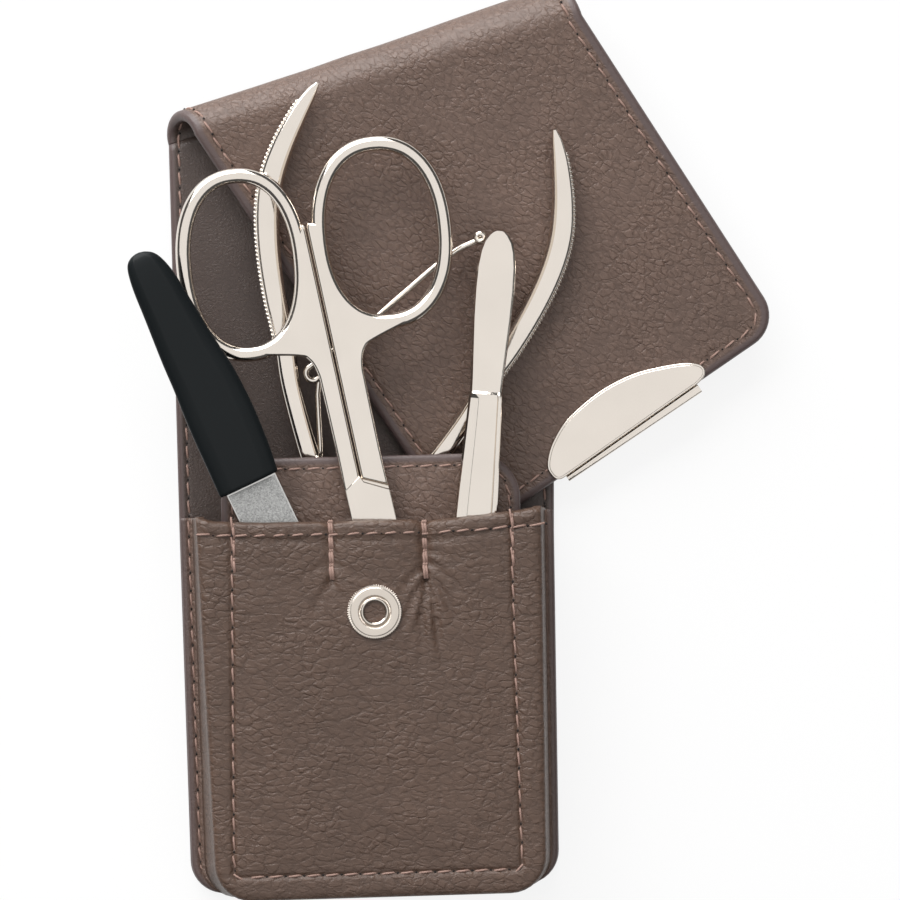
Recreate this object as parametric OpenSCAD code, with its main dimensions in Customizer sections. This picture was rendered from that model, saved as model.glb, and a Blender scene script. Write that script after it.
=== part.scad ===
// Leather manicure case, lying open on its back, with file, scissors, tweezers and nippers.
// Origin: on the back face, under the axis of the press stud. +Y runs to the fold, +Z to the front.

/* [Leather] */
// Thickness of the outer leather
leather_t = 1.2; // [0.8:0.1:1.6]
// Thickness of the lining leather
lining_t = 0.8; // [0.5:0.1:1.2]

/* [Pouch] */
// Width of the back panel at its bottom
back_w = 66.5; // [64:0.5:76]
// How much wider the back panel is at the hinge line
back_flare = 1.2; // [0:0.1:3]
// How far the press stud sits to the right of the middle
stud_shift = 0.35; // [0:0.05:2]
// From the press stud down to the bottom edge
pouch_bottom = 50.9; // [46:0.5:65]
// From the press stud up to the mouth of the pouch
mouth_y = 16.4; // [15.5:0.1:18]
// Line above the press stud where the upper panel bends back
hinge_y = 13; // [11:0.5:15]
// Corner radius of the back panel
back_r = 6; // [3:0.5:10]
// Width of the pouch where it meets the back
pouch_w_back = 64.4; // [62:0.2:66]
// Width of the pouch's front face at the mouth
pouch_w_front = 60.8; // [58:0.2:62]
// How much narrower the front face is at the bottom
front_taper = 3.0; // [0:0.1:5]
// Depth of the rear pocket
rear_depth = 10; // [9.5:0.1:14]
// Depth of the front pocket, lining included
front_depth = 6.8; // [6.4:0.1:9]
// Width of the inner panel's raised tab
tab_w = 53; // [44:0.5:58]
// Height of the inner panel's tab above the press stud
tab_top = 27.3; // [22:0.1:30]
// Corner radius of the tab
tab_r = 8; // [3:0.5:12]
// Left bar tack, measured from the press stud
tack_left = -7.35; // [-7.8:0.05:-7]
// Right bar tack, measured from the press stud
tack_right = 9.1; // [8.8:0.05:9.6]
// Length of each bar tack
tack_len = 9; // [5:0.5:12]
// Width of each bar tack
tack_w = 1.0; // [0.6:0.1:1.4]

/* [Upper panel and flap] */
// Height of the fold at the left edge, above the press stud
fold_y = 84.1; // [78:0.1:92]
// How far the fold line is turned from straight across
fold_angle = 16; // [14:0.5:18]
// Left edge of the upper panel at the fold
upper_left = -34.45; // [-37:0.05:-32]
// Right edge of the upper panel at the fold
upper_right = 35.7; // [33:0.1:38]
// Width of the flap
flap_w = 69.4; // [66:0.1:72]
// Sideways place of the flap's left edge in its own frame
flap_left = 20.4; // [19.5:0.1:21.5]
// Place of the flap's bottom edge in its own frame
flap_end = 1.2; // [0:0.1:3]
// How much higher the bottom edge is at its right end
flap_skew = 1.6; // [0:0.1:3]
// Corner radius of the flap
flap_r = 6; // [3:0.5:10]
// Height of the flap's middle above the origin
flap_z = 1.45; // [1.4:0.05:2.2]
// Rise of the flap towards the fold
flap_rise = 5.7; // [5.2:0.1:6]
// Rise of the flap towards the right
flap_cant = 1.2; // [1:0.1:1.4]

/* [Press stud and plate] */
// Diameter of the socket's flange
flange_d = 9.6; // [8:0.1:12]
// Thickness of the socket's flange
flange_t = 0.9; // [0.6:0.1:1.4]
// Bore of the socket
socket_d = 3.7; // [3.4:0.1:4.2]
// Clearance of the stud in the socket, on its radius
stud_gap = 0.1; // [0.05:0.05:0.3]
// Length of the stud's head
stud_len = 3.2; // [2.6:0.1:3.4]
// Width of the half-moon plate
plate_w = 34; // [28:0.5:40]
// Height of the half-moon plate
plate_h = 9.0; // [7:0.1:12]
// Thickness of the plate and of its clip
plate_t = 0.8; // [0.5:0.1:1.2]
// How far the plate sits to the right of the flap's middle
plate_shift = 1.9; // [0:0.1:4]
// Length of the clip along the flap's edge
clip_w = 28.6; // [22:0.2:32]

/* [File] */
// Length of the handle
file_handle_l = 44.9; // [40:0.1:50]
// Greatest width of the handle
file_handle_w = 11.9; // [10.5:0.1:13]
// Greatest thickness of the handle
file_handle_t = 3.8; // [3:0.1:4.2]
// Length of the blade that shows past the handle
file_blade_l = 44; // [38:0.5:48]
// Width of the blade
file_blade_w = 9.4; // [7:0.1:9.6]
// Thickness of the blade
file_blade_t = 1.0; // [0.6:0.1:1.2]
// Thickness of each abrasive face
abrasive_t = 0.15; // [0.1:0.05:0.2]

/* [Scissors] */
// Height of a finger ring, middle of its bar to middle
ring_h = 31.4; // [29:0.2:32]
// Width of the right finger ring, middle of its bar to middle
ring_w_right = 22.1; // [20:0.1:22.6]
// Width of the left finger ring, middle of its bar to middle
ring_w_left = 20.6; // [19:0.1:21.4]
// Thickness of a ring's bar
ring_bar = 2.7; // [2.2:0.1:2.8]
// Height of the ring centres above the pivot
ring_y = 53; // [51.6:0.2:55]
// Length of the blades below the pivot
scissor_blade_l = 26; // [22:0.5:30]
// Thickness of each half at the joint
scissor_half_t = 1.5; // [1.2:0.1:1.8]
// Radius of the scissors' screw
scissor_screw_r = 1.5; // [1.2:0.05:2]

/* [Tweezers] */
// Length of the tweezers above the pouch mouth
tweezer_top = 50.3; // [46:0.1:52]
// Length of the tweezers below the pouch mouth
tweezer_bottom = 37; // [32:0.5:40]
// Thickness of an arm
arm_t = 1.2; // [1:0.05:1.3]
// Thickness of the spacer in the head
spacer_t = 0.6; // [0.4:0.1:0.8]

/* [Nippers] */
// Radius of the joint's boss
boss_r = 5.2; // [4.6:0.1:5.6]
// Thickness of each half at the joint
nipper_half_t = 2.4; // [2:0.1:2.6]
// Length of the jaws below the joint
jaw_l = 15; // [13:0.5:17]
// Opening between the jaws at rest, as an angle
jaw_open = 18; // [18:1:20]
// Radius of the nippers' screw
nipper_screw_r = 1.6; // [1.3:0.05:2]
// Diameter of the spring wire
wire_d = 1.1; // [0.8:0.05:1.2]
// Radius of the spring's coil, to the middle of the wire
coil_r = 1.3; // [1.1:0.1:1.4]

/* [Hidden] */

leather = [0.47, 0.39, 0.36];
inside = [0.38, 0.31, 0.29];
nickel = [0.86, 0.84, 0.80];
joint_gap = 0.05;
sheet_t = leather_t + lining_t;
mid_x = -stud_shift;
inner_z = sheet_t + rear_depth;
front_z0 = inner_z + leather_t;
front_z1 = front_z0 + front_depth;
front_top = front_z1 + leather_t;
wall_t = 1.2;
edge_inset = 0.3;

// Rounded outline: corner i of the list p gets radius r[i], with arcs turned in equal steps
function unit(v) = v / norm(v);
function turn(a) = a > 180 ? a - 360 : a < -180 ? a + 360 : a;
function corner(a, b, c, r, n = 8) =
    let (u = unit(a - b), v = unit(c - b), half = acos(u * v) / 2,
        o = b + unit(u + v) * r / sin(half),
        p = b + u * r / tan(half) - o, q = b + v * r / tan(half) - o,
        a0 = atan2(p.y, p.x), da = turn(atan2(q.y, q.x) - a0))
    [for (i = [0:n]) o + r * [cos(a0 + da * i / n), sin(a0 + da * i / n)]];
function rounded(p, r) = let (n = len(p))
    [for (i = [0:n - 1]) each (r[i] > 0 ? corner(p[(i + n - 1) % n], p[i], p[(i + 1) % n], r[i])
        : [p[i]])];

// A solid through rings of points, each ring wound anticlockwise about the way of travel
module loft(rings, closed = false) {
    n = len(rings[0]);
    m = len(rings);
    ends = closed ? [] : [[for (i = [0:n - 1]) i], [for (i = [n - 1:-1:0]) (m - 1) * n + i]];
    sides = [for (k = [0:m - (closed ? 1 : 2)]) for (i = [0:n - 1])
        let (a = k * n + i, b = k * n + (i + 1) % n, k1 = (k + 1) % m * n,
            c = k1 + (i + 1) % n, d = k1 + i)
        each [[a, d, c], [a, c, b]]];
    polyhedron(points = [for (r = rings) each r], faces = concat(ends, sides), convexity = 8);
}

// Oval ring of points round p, across the direction t, with half width w and half height h
function oval(p, t, w, h, n) = let (e1 = unit(cross(t, [0, 0, 1])), e2 = cross(t, e1))
    [for (i = [0:n - 1]) p + w * cos(360 * (i + 0.5) / n) * e1 + h * sin(360 * (i + 0.5) / n) * e2];
function ahead(path, i, closed) = let (m = len(path))
    unit(closed ? path[(i + 1) % m] - path[(i + m - 1) % m]
        : path[min(i + 1, m - 1)] - path[max(i - 1, 0)]);
module sweep(path, w, h, n = 8, closed = false) {
    loft([for (i = [0:len(path) - 1]) oval(path[i], ahead(path, i, closed),
        is_list(w) ? w[i] : w, is_list(h) ? h[i] : h, n)], closed);
}

// Half width of the back panel at height y, and the pouch's width at depth z and height y
function back_half(y) = back_w / 2 + back_flare / 2 * (y + pouch_bottom) / (pouch_bottom + hinge_y);
function pouch_half(y, z) = let (f = (z - sheet_t) / (front_top - sheet_t),
        front = pouch_w_front / 2 - front_taper / 2 * (mouth_y - y) / (mouth_y + pouch_bottom))
    pouch_w_back / 2 * (1 - f) + front * f;
pouch_foot_gap = 0.5;
module pouch_slice(z, inset, top) {
    foot = -pouch_bottom + pouch_foot_gap + inset;
    low = pouch_half(foot, z) - inset;
    high = pouch_half(top, z) - inset;
    r = back_r - inset * 0.5;
    translate([0, 0, z]) linear_extrude(0.01)
        polygon(rounded([[mid_x - low, foot], [mid_x + low, foot], [mid_x + high, top], [mid_x - high, top]],
            [r, r, 0, 0]));
}
module pouch_solid(z0, z1, inset, top, edge = 0) {
    hull() {
        pouch_slice(z0, inset, top);
        pouch_slice(z1 - 0.01 - edge, inset, top);
        if (edge > 0) {
            pouch_slice(z1 - 0.01 - edge * 0.3, inset + edge * 0.3, top);
            pouch_slice(z1 - 0.01, inset + edge, top);
        }
    }
}

// Case: back, walls, inner panel and front

module back_outline(inset, top) {
    y = -pouch_bottom + inset;
    polygon(rounded([[mid_x - back_half(y) + inset, y], [mid_x + back_half(y) - inset, y],
        [mid_x + back_half(top) - inset, top], [mid_x - back_half(top) + inset, top]],
        [back_r, back_r, 0, 0]));
}
module back_panel() {
    color(leather) linear_extrude(leather_t) back_outline(0, hinge_y - joint_gap);
}
module back_lining() {
    color(inside) translate([0, 0, leather_t]) linear_extrude(lining_t)
        back_outline(edge_inset, hinge_y - joint_gap);
}
swing_gap = 0.4;
module gusset() {
    color(leather) difference() {
        pouch_solid(sheet_t, inner_z, 0, mouth_y);
        pouch_solid(sheet_t - 1, inner_z + 1, wall_t, mouth_y + 1);
        translate([-back_w, hinge_y - joint_gap, sheet_t - 1]) cube([2 * back_w, 20, 1 + swing_gap]);
    }
}
module inner_panel() {
    half = pouch_half(mouth_y, inner_z);
    color(leather) translate([0, 0, inner_z]) linear_extrude(leather_t) union() {
        intersection() {
            polygon(rounded([[mid_x - half, -pouch_bottom + pouch_foot_gap], [mid_x + half, -pouch_bottom + pouch_foot_gap],
                [mid_x + half, mouth_y], [mid_x - half, mouth_y]], [back_r, back_r, 0, 0]));
            polygon([[mid_x - pouch_half(-pouch_bottom, inner_z), -pouch_bottom],
                [mid_x + pouch_half(-pouch_bottom, inner_z), -pouch_bottom],
                [mid_x + half, mouth_y], [mid_x - half, mouth_y]]);
        }
        polygon(rounded([[mid_x - tab_w / 2, mouth_y - 1], [mid_x + tab_w / 2, mouth_y - 1],
            [mid_x + tab_w / 2, tab_top], [mid_x - tab_w / 2, tab_top]], [0, 0, tab_r, tab_r]));
    }
}
module divider_tacks() {
    color(leather) for (x = [tack_left, tack_right])
        translate([x - tack_w / 2, mouth_y - tack_len - 0.6, front_z0])
            cube([tack_w, tack_len, front_depth - lining_t]);
}
front_edge = 2.2;
module front_panel() {
    color(leather) difference() {
        pouch_solid(front_z0, front_top, 0, mouth_y, front_edge);
        pouch_solid(front_z0 - 1, front_z1, wall_t, mouth_y + 1);
        cylinder(h = 60, d = socket_d + 2 * post_wall, $fn = 48);
    }
}
module front_lining() {
    low = pouch_half(-pouch_bottom, front_z1) - wall_t - 0.2;
    high = pouch_half(mouth_y, front_z1) - wall_t - 0.2;
    foot = -pouch_bottom + pouch_foot_gap + wall_t + 0.2;
    color(inside) translate([0, 0, front_z1 - lining_t]) linear_extrude(lining_t) difference() {
        polygon(rounded([[mid_x - low, foot], [mid_x + low, foot],
            [mid_x + high, mouth_y - 0.6], [mid_x - high, mouth_y - 0.6]], [back_r - 1, back_r - 1, 0, 0]));
        circle(d = socket_d + 2 * post_wall, $fn = 48);
    }
}

// Press-stud socket in the front

post_wall = 0.45;
spring_wire_d = 0.5;
washer_t = 0.5;
washer_step = 0.3;
washer_rim = 1.2;
module socket_flange() {
    color(nickel) translate([0, 0, front_top]) rotate_extrude($fn = 96)
        polygon([[socket_d / 2, 0], [flange_d / 2, 0], [flange_d / 2, flange_t * 0.4],
            [flange_d / 2 - 0.5, flange_t], [socket_d / 2 + 0.5, flange_t], [socket_d / 2, flange_t - 0.25]]);
}
module socket_post() {
    color(nickel) translate([0, 0, front_z1 - lining_t]) rotate_extrude($fn = 96)
        translate([socket_d / 2, 0]) square([post_wall, front_top - front_z1 + lining_t]);
}
module socket_spring() {
    hole = socket_d / 2 + washer_step;
    span = 2 * sqrt(pow(hole, 2) - pow(socket_d / 4 + spring_wire_d / 2, 2));
    color(nickel) for (side = [-1, 1])
        translate([side * socket_d / 4, 0, front_z1 - lining_t - washer_t / 2])
            rotate([90, 0, 0]) cylinder(h = span, d = spring_wire_d, center = true, $fn = 24);
}
module socket_washer() {
    color(nickel) translate([0, 0, front_z1 - lining_t - washer_t]) rotate_extrude($fn = 96)
        translate([socket_d / 2 + washer_step, 0]) square([washer_rim, washer_t]);
}

// Upper panel and fold

fold_dir = [cos(fold_angle), sin(fold_angle), 0];
fold_out = [-sin(fold_angle), cos(fold_angle), 0];
fold_left = [upper_left, fold_y, 0];
fold_right = [upper_right, fold_y + (upper_right - upper_left) * tan(fold_angle), 0];
module upper_outline(inset) {
    polygon([[mid_x - back_half(hinge_y) + inset, hinge_y], [mid_x + back_half(hinge_y) - inset, hinge_y],
        [fold_right.x - inset, fold_right.y - inset * tan(fold_angle)],
        [fold_left.x + inset, fold_left.y + inset * tan(fold_angle)]]);
}
module upper_panel() {
    color(leather) linear_extrude(leather_t) upper_outline(0);
}
module upper_lining() {
    color(inside) translate([0, 0, leather_t]) linear_extrude(lining_t) upper_outline(edge_inset);
}

// The flap is drawn flat in its own frame, turned by twice the fold's angle, then tilted
flap_angle = 2 * fold_angle;
flap_mid = sheet_t / 2;
flap_right = flap_left + flap_w;
function flap_plan(x, y) = [x * cos(flap_angle) - y * sin(flap_angle), x * sin(flap_angle) + y * cos(flap_angle)];
function flap_tilt(p, z) = let (yz = p.y * sin(flap_rise) + z * cos(flap_rise), b = -flap_cant)
    [p.x * cos(b) + yz * sin(b), p.y * cos(flap_rise) - z * sin(flap_rise),
        flap_z - p.x * sin(b) + yz * cos(b)];
// Height in the flap's frame of the fold line, at sideways place x
function flap_top(x) = let (w = flap_plan(1, 0), u = flap_plan(0, 1), q = fold_left,
        m = tan(fold_angle))
    (q.y - m * q.x - x * (w.y - m * w.x)) / (u.y - m * u.x);
module flap_outline(inset) {
    a = flap_left + inset;
    b = flap_right - inset;
    polygon(rounded([[a, flap_end - flap_skew / 2 + inset], [b, flap_end + flap_skew / 2 + inset],
        [b, flap_top(b) - inset / 2], [a, flap_top(a) - inset / 2]], [flap_r, flap_r, 0, 0]));
}
module on_flap() {
    translate([0, 0, flap_z]) rotate([flap_rise, -flap_cant, 0]) rotate([0, 0, flap_angle]) children();
}
module flap_outer() {
    color(leather) on_flap() translate([0, 0, flap_mid - leather_t]) linear_extrude(leather_t)
        difference() {
            flap_outline(0);
            translate(stud_at) circle(r = rivet_r, $fn = 32);
        }
}
module flap_lining() {
    color(inside) on_flap() translate([0, 0, -flap_mid]) linear_extrude(lining_t)
        difference() {
            flap_outline(edge_inset);
            translate(stud_at) circle(r = rivet_r, $fn = 32);
        }
}

// Point on the roll: side 0 is left and 1 right, t turns from the panel to the flap
function roll_point(side, t, off) =
    let (x = side == 0 ? flap_left : flap_right,
        e = flap_tilt(flap_plan(x, flap_top(x)), 0),
        s = (side == 0 ? fold_left : fold_right) + [0, 0, flap_mid],
        r = (e.z - s.z) / 2, share = (1 - cos(t)) / 2,
        base = s + (e - s) * share)
    base + fold_out * (r + off) * sin(t) + [0, 0, -off * cos(t)];
roll_steps = 14;
module roll(low, high) {
    loft([for (i = [0:roll_steps]) let (t = 180 * i / roll_steps)
        [roll_point(0, t, low), roll_point(1, t, low), roll_point(1, t, high), roll_point(0, t, high)]]);
}
module fold_outer() {
    color(leather) roll(flap_mid - leather_t, flap_mid);
}
module fold_lining() {
    color(inside) roll(-flap_mid, flap_mid - leather_t);
}

// Half-moon plate, its clip, and the stud behind it

plate_mid = (flap_left + flap_right) / 2 + plate_shift;
plate_low = flap_end + 0.1;
plate_end_r = 1.6;
plate_arc_r = (pow(plate_w / 2, 2) + pow(plate_h - plate_end_r, 2)) / (2 * (plate_h - plate_end_r));
stud_at = [plate_mid, plate_low + plate_h * 0.5];
rivet_r = 1.2;
stud_r = socket_d / 2 - stud_gap;
module plate_outline() {
    steps = 20;
    half = asin(plate_w / 2 / plate_arc_r);
    o = [plate_mid, plate_low + plate_h - plate_arc_r];
    arc = [for (i = [0:steps]) let (a = 90 - half + 2 * half * i / steps) o + plate_arc_r * [cos(a), sin(a)]];
    left_end = arc[steps];
    right_end = arc[0];
    polygon(concat(arc,
        [left_end + [plate_end_r * 0.15, -plate_end_r * 0.75], left_end + [plate_end_r * 1.2, plate_low - left_end.y],
        [2 * plate_mid - left_end.x - plate_end_r * 1.2, plate_low],
        right_end + [-plate_end_r * 0.15, -plate_end_r * 0.75]]));
}
module closure_plate() {
    color(nickel) on_flap() translate([0, 0, flap_mid]) linear_extrude(plate_t) plate_outline();
}
clip_out = 1.2;
clip_depth = 4;
module closure_clip() {
    x0 = plate_mid - clip_w / 2 - 0.3;
    y0 = plate_low - clip_out - flap_skew / 2;
    color(nickel) on_flap() {
        translate([x0, y0, -flap_mid - plate_t]) cube([clip_w, clip_depth, plate_t]);
        translate([x0, y0, -flap_mid - plate_t]) cube([clip_w, 0.5, sheet_t + plate_t]);
    }
}
module press_stud() {
    color(nickel) on_flap() translate([stud_at.x, stud_at.y, -flap_mid]) {
        difference() {
            translate([0, 0, -plate_t - 0.3]) cylinder(h = 0.3 + plate_t, r = 3.4, $fn = 64);
            translate([0, 0, -plate_t]) translate([-10, -20 - stud_at.y + plate_low - clip_out + clip_depth, -1])
                cube([20, 20, plate_t + 2]);
        }
        translate([0, 0, -plate_t - 0.3 - stud_len]) cylinder(h = stud_len, r = stud_r, $fn = 64);
    }
}
module stud_rivet() {
    color(nickel) on_flap() translate([stud_at.x, stud_at.y, -flap_mid]) cylinder(h = sheet_t, r = rivet_r, $fn = 32);
}

// Tools stand in their own frames: x across, y out of the pouch along the tool, z to the front
module tool(at, angle, rise) {
    translate(at) rotate([0, 0, angle]) rotate([rise, 0, 0]) children();
}

// File

file_at = [-21.95, 22.58, 19.0];
file_angle = 24.1;
file_rise = 5;
blade_shift = 0.9;
tang_l = 18;
tang_w = 6;
file_fit = 0.02;
// Along the handle: its middle, and its half width and half thickness as shares of the greatest
handle_y = [0, 0.02, 0.08, 0.25, 0.34, 0.46, 0.58, 0.76, 0.87, 0.94, 0.975, 0.993, 1];
handle_mid = [0.6, 0.65, 0.85, 1.2, 1.3, 1.35, 1.1, 0.95, 0.83, 0.66, 0.5, 0.4, 0.35];
handle_half = [0.9, 0.94, 0.97, 1, 0.985, 0.93, 0.85, 0.73, 0.655, 0.55, 0.42, 0.24, 0.08];
handle_thick = [0.72, 0.84, 0.94, 1, 1, 1, 0.98, 0.94, 0.86, 0.72, 0.56, 0.36, 0.2];
module file_handle() {
    half = file_handle_w / 2;
    thick = file_handle_t / 2;
    color([0.06, 0.06, 0.06]) tool(file_at, file_angle, file_rise) difference() {
        sweep([for (i = [0:len(handle_y) - 1]) [handle_mid[i], handle_y[i] * file_handle_l, 0]],
            [for (v = handle_half) v * half], [for (v = handle_thick) v * thick], n = 20);
        translate([blade_shift - tang_w / 2 - file_fit, -1, -file_blade_t / 2 - file_fit])
            cube([tang_w + 2 * file_fit, tang_l + 1 + file_fit, file_blade_t + 2 * file_fit]);
    }
}
module blade_outline(inset, top, tang = 0) {
    half = file_blade_w / 2 - inset;
    shoulder = -file_blade_l * 0.72;
    tip = -file_blade_l + inset;
    steps = 10;
    polygon(concat([[blade_shift + half, top]],
        [for (i = [0:steps]) let (a = -180 * i / steps)
            [blade_shift + half * cos(a), shoulder + (shoulder - tip) * sin(a)]],
        [[blade_shift - half, top]],
        tang > 0 ? [for (p = [[-1, 0], [-1, tang], [1, tang], [1, 0]])
            [blade_shift + p.x * tang_w / 2, top + p.y]] : []));
}
module file_blade() {
    color([0.75, 0.75, 0.75]) tool(file_at, file_angle, file_rise)
        translate([0, 0, -file_blade_t / 2]) linear_extrude(file_blade_t)
            blade_outline(0, -file_fit, tang_l);
}
module abrasive(side) {
    color([0.7, 0.71, 0.73]) tool(file_at, file_angle, file_rise)
        translate([0, 0, side > 0 ? file_blade_t / 2 : -file_blade_t / 2 - abrasive_t])
            linear_extrude(abrasive_t) blade_outline(0.25, -0.3);
}
module file_abrasive_front() {
    abrasive(1);
}
module file_abrasive_back() {
    abrasive(-1);
}

// Scissors: the right half carries the screw and lies under the left half at the joint

scissors_at = [0.2, 12.1, 15.9];
scissors_angle = 11;
scissors_rise = 2;
pivot_x = 1.0;
seam_x = 0.2;
seam_gap = 0.2;
ring_lean = -6.5;
ring_shape = 2.25;
screw_fit = 0.05;
half_gap = 0.05;
head_r = 2.6;
head_t = 0.45;
shank_out = 4.8;
function power(v, e) = v == 0 ? 0 : sign(v) * pow(abs(v), e);
function ring_path(side, w) = let (c = [side * (w / 2 + ring_bar / 2 + 0.55) + seam_x, ring_y - (side < 0 ? 0.4 : 0), 0])
    [for (i = [0:35]) let (a = 10 * i, x = w / 2 * power(cos(a), 2 / ring_shape),
            y = ring_h / 2 * power(sin(a), 2 / ring_shape))
        c + [x * cos(ring_lean) - y * sin(ring_lean), x * sin(ring_lean) + y * cos(ring_lean), 0]];
module finger_ring(side, w) {
    sweep(ring_path(side, w), ring_bar / 2, ring_bar / 2, n = 10, closed = true);
}
// Shank from the ring's foot down to the shoulder of the joint; s is -1 on the left half
module shank(s, foot, out) {
    x = seam_x + s * seam_gap / 2;
    y = ring_y - ring_h / 2;
    polygon([[x, ring_y + 5], [x, foot[0]], [s * out, foot[1]], [s * out, y - 7], [s * (out + 0.4), y - 4.6],
        [s * (out + 1.6), y - 2.9], [s * (out + 4.5), y - 1.8], [s * (out + 8), y - 0.6],
        [s * (out + 5), y + 0.6], [s * (out + 1.6), y + 2.6], [s * (out * 0.75 + 0.2), y + 6],
        [s * 2.1, y + 12], [s * 1.5, ring_y + 5]]);
}
shoulder_in = 11.4;
shoulder_out = 9.2;
module scissor_half_right() {
    t = scissor_half_t;
    color(nickel) tool(scissors_at, scissors_angle, scissors_rise) difference() {
        union() {
            finger_ring(1, ring_w_right);
            translate([0, 0, -1.3]) linear_extrude(2.6) shank(1, [shoulder_in, shoulder_out], shank_out);
            translate([0, 0, -t]) linear_extrude(t - half_gap)
                polygon([[seam_x + 0.1, shoulder_in + 0.3], [shank_out, shoulder_out + 0.3], [shank_out + 0.2, -2],
                    [shank_out - 1.6, -5], [seam_x + 0.5, -scissor_blade_l], [-1.8, -scissor_blade_l * 0.5],
                    [-2.9, -3], [-2.9, 8.4], [seam_x, shoulder_in - 0.5]]);
        }
        translate([pivot_x, 0, -5]) cylinder(h = 10, r = scissor_screw_r + screw_fit, $fn = 48);
    }
}
module scissor_half_left() {
    t = scissor_half_t;
    color(nickel) tool(scissors_at, scissors_angle, scissors_rise) difference() {
        union() {
            finger_ring(-1, ring_w_left);
            translate([0, 0, -1.3]) linear_extrude(2.6) shank(-1, [shoulder_in, shoulder_out], 3.1);
            translate([0, 0, half_gap]) linear_extrude(t - half_gap)
                polygon([[seam_x - 0.1, shoulder_in + 0.6], [seam_x - 0.1, shoulder_in - 0.2],
                    [seam_x + 0.5, shoulder_in - 0.6], [shank_out, shoulder_out - 0.6],
                    [shank_out + 0.2, -3], [shank_out - 0.9, -scissor_blade_l * 0.5],
                    [seam_x + 1.3, -scissor_blade_l], [-1.4, -5], [-2.9, -2], [-2.9, shoulder_out + 0.8]]);
        }
        translate([pivot_x, 0, -5]) cylinder(h = 10, r = scissor_screw_r + screw_fit, $fn = 48);
    }
}
module scissor_screw() {
    color(nickel) tool(scissors_at, scissors_angle, scissors_rise) translate([pivot_x, 0, 0]) difference() {
        union() {
            translate([0, 0, -scissor_half_t]) cylinder(h = 2 * scissor_half_t + half_gap, r = scissor_screw_r, $fn = 48);
            translate([0, 0, scissor_half_t + half_gap]) cylinder(h = head_t, r = head_r, $fn = 48);
        }
        translate([-head_r, -0.3, scissor_half_t + half_gap + head_t * 0.4]) cube([2 * head_r, 0.6, 1]);
    }
}

// Tweezers: two arms welded to a thin spacer in the head

tweezers_at = [18.4, 16.4, 16.4];
tweezers_angle = -6.2;
tweezers_rise = 0.6;
weld_y = 42;
// Along the arm, from the head to the tip: height, half width, and distance from the mid plane
arm_y = [tweezer_top, tweezer_top - 0.7, tweezer_top - 2.2, tweezer_top - 5, weld_y, 33, 22.6, 20.6,
    10, 0, -10, -22, 5 - tweezer_bottom, -tweezer_bottom];
arm_half = [0.7, 1.9, 2.75, 3.3, 3.5, 3.35, 2.75, 2.9, 3.25, 3.6, 3.4, 2.5, 1.8, 1.5];
arm_off = [0, 0, 0, 0, 0, 0.2, 0.75, 0.95, 1.2, 1.25, 1.25, 1.15, 1.05, 1.0];
module arm(side) {
    inner = spacer_t / 2;
    tweak = [for (i = [0:len(arm_y) - 1]) side * (inner + arm_off[i])];
    // Rings run from the head down; the way of travel is -y
    loft([for (i = [0:len(arm_y) - 1])
        let (h = arm_half[i], a = min(tweak[i], tweak[i] + side * arm_t), b = a + arm_t, bev = min(0.5, h * 0.4))
        [[h, arm_y[i], a], [h, arm_y[i], b - (side > 0 ? bev : 0)], [h - bev, arm_y[i], b],
            [-h + bev, arm_y[i], b], [-h, arm_y[i], b - (side > 0 ? bev : 0)], [-h, arm_y[i], a]]]);
}
module tweezer_front_arm() {
    color(nickel) tool(tweezers_at, tweezers_angle, tweezers_rise) arm(1);
}
module tweezer_rear_arm() {
    color(nickel) tool(tweezers_at, tweezers_angle, tweezers_rise) arm(-1);
}
module tweezer_spacer() {
    color(nickel) tool(tweezers_at, tweezers_angle, tweezers_rise)
        translate([0, 0, -spacer_t / 2]) linear_extrude(spacer_t)
            polygon([[-3.3, weld_y], [3.3, weld_y], [3.2, tweezer_top - 5], [2.6, tweezer_top - 2.4],
                [1.6, tweezer_top - 1], [-1.6, tweezer_top - 1], [-2.6, tweezer_top - 2.4], [-3.2, tweezer_top - 5]]);
}

// Nippers: a lap joint, the left half in front; both handles follow one path, mirrored

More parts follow.
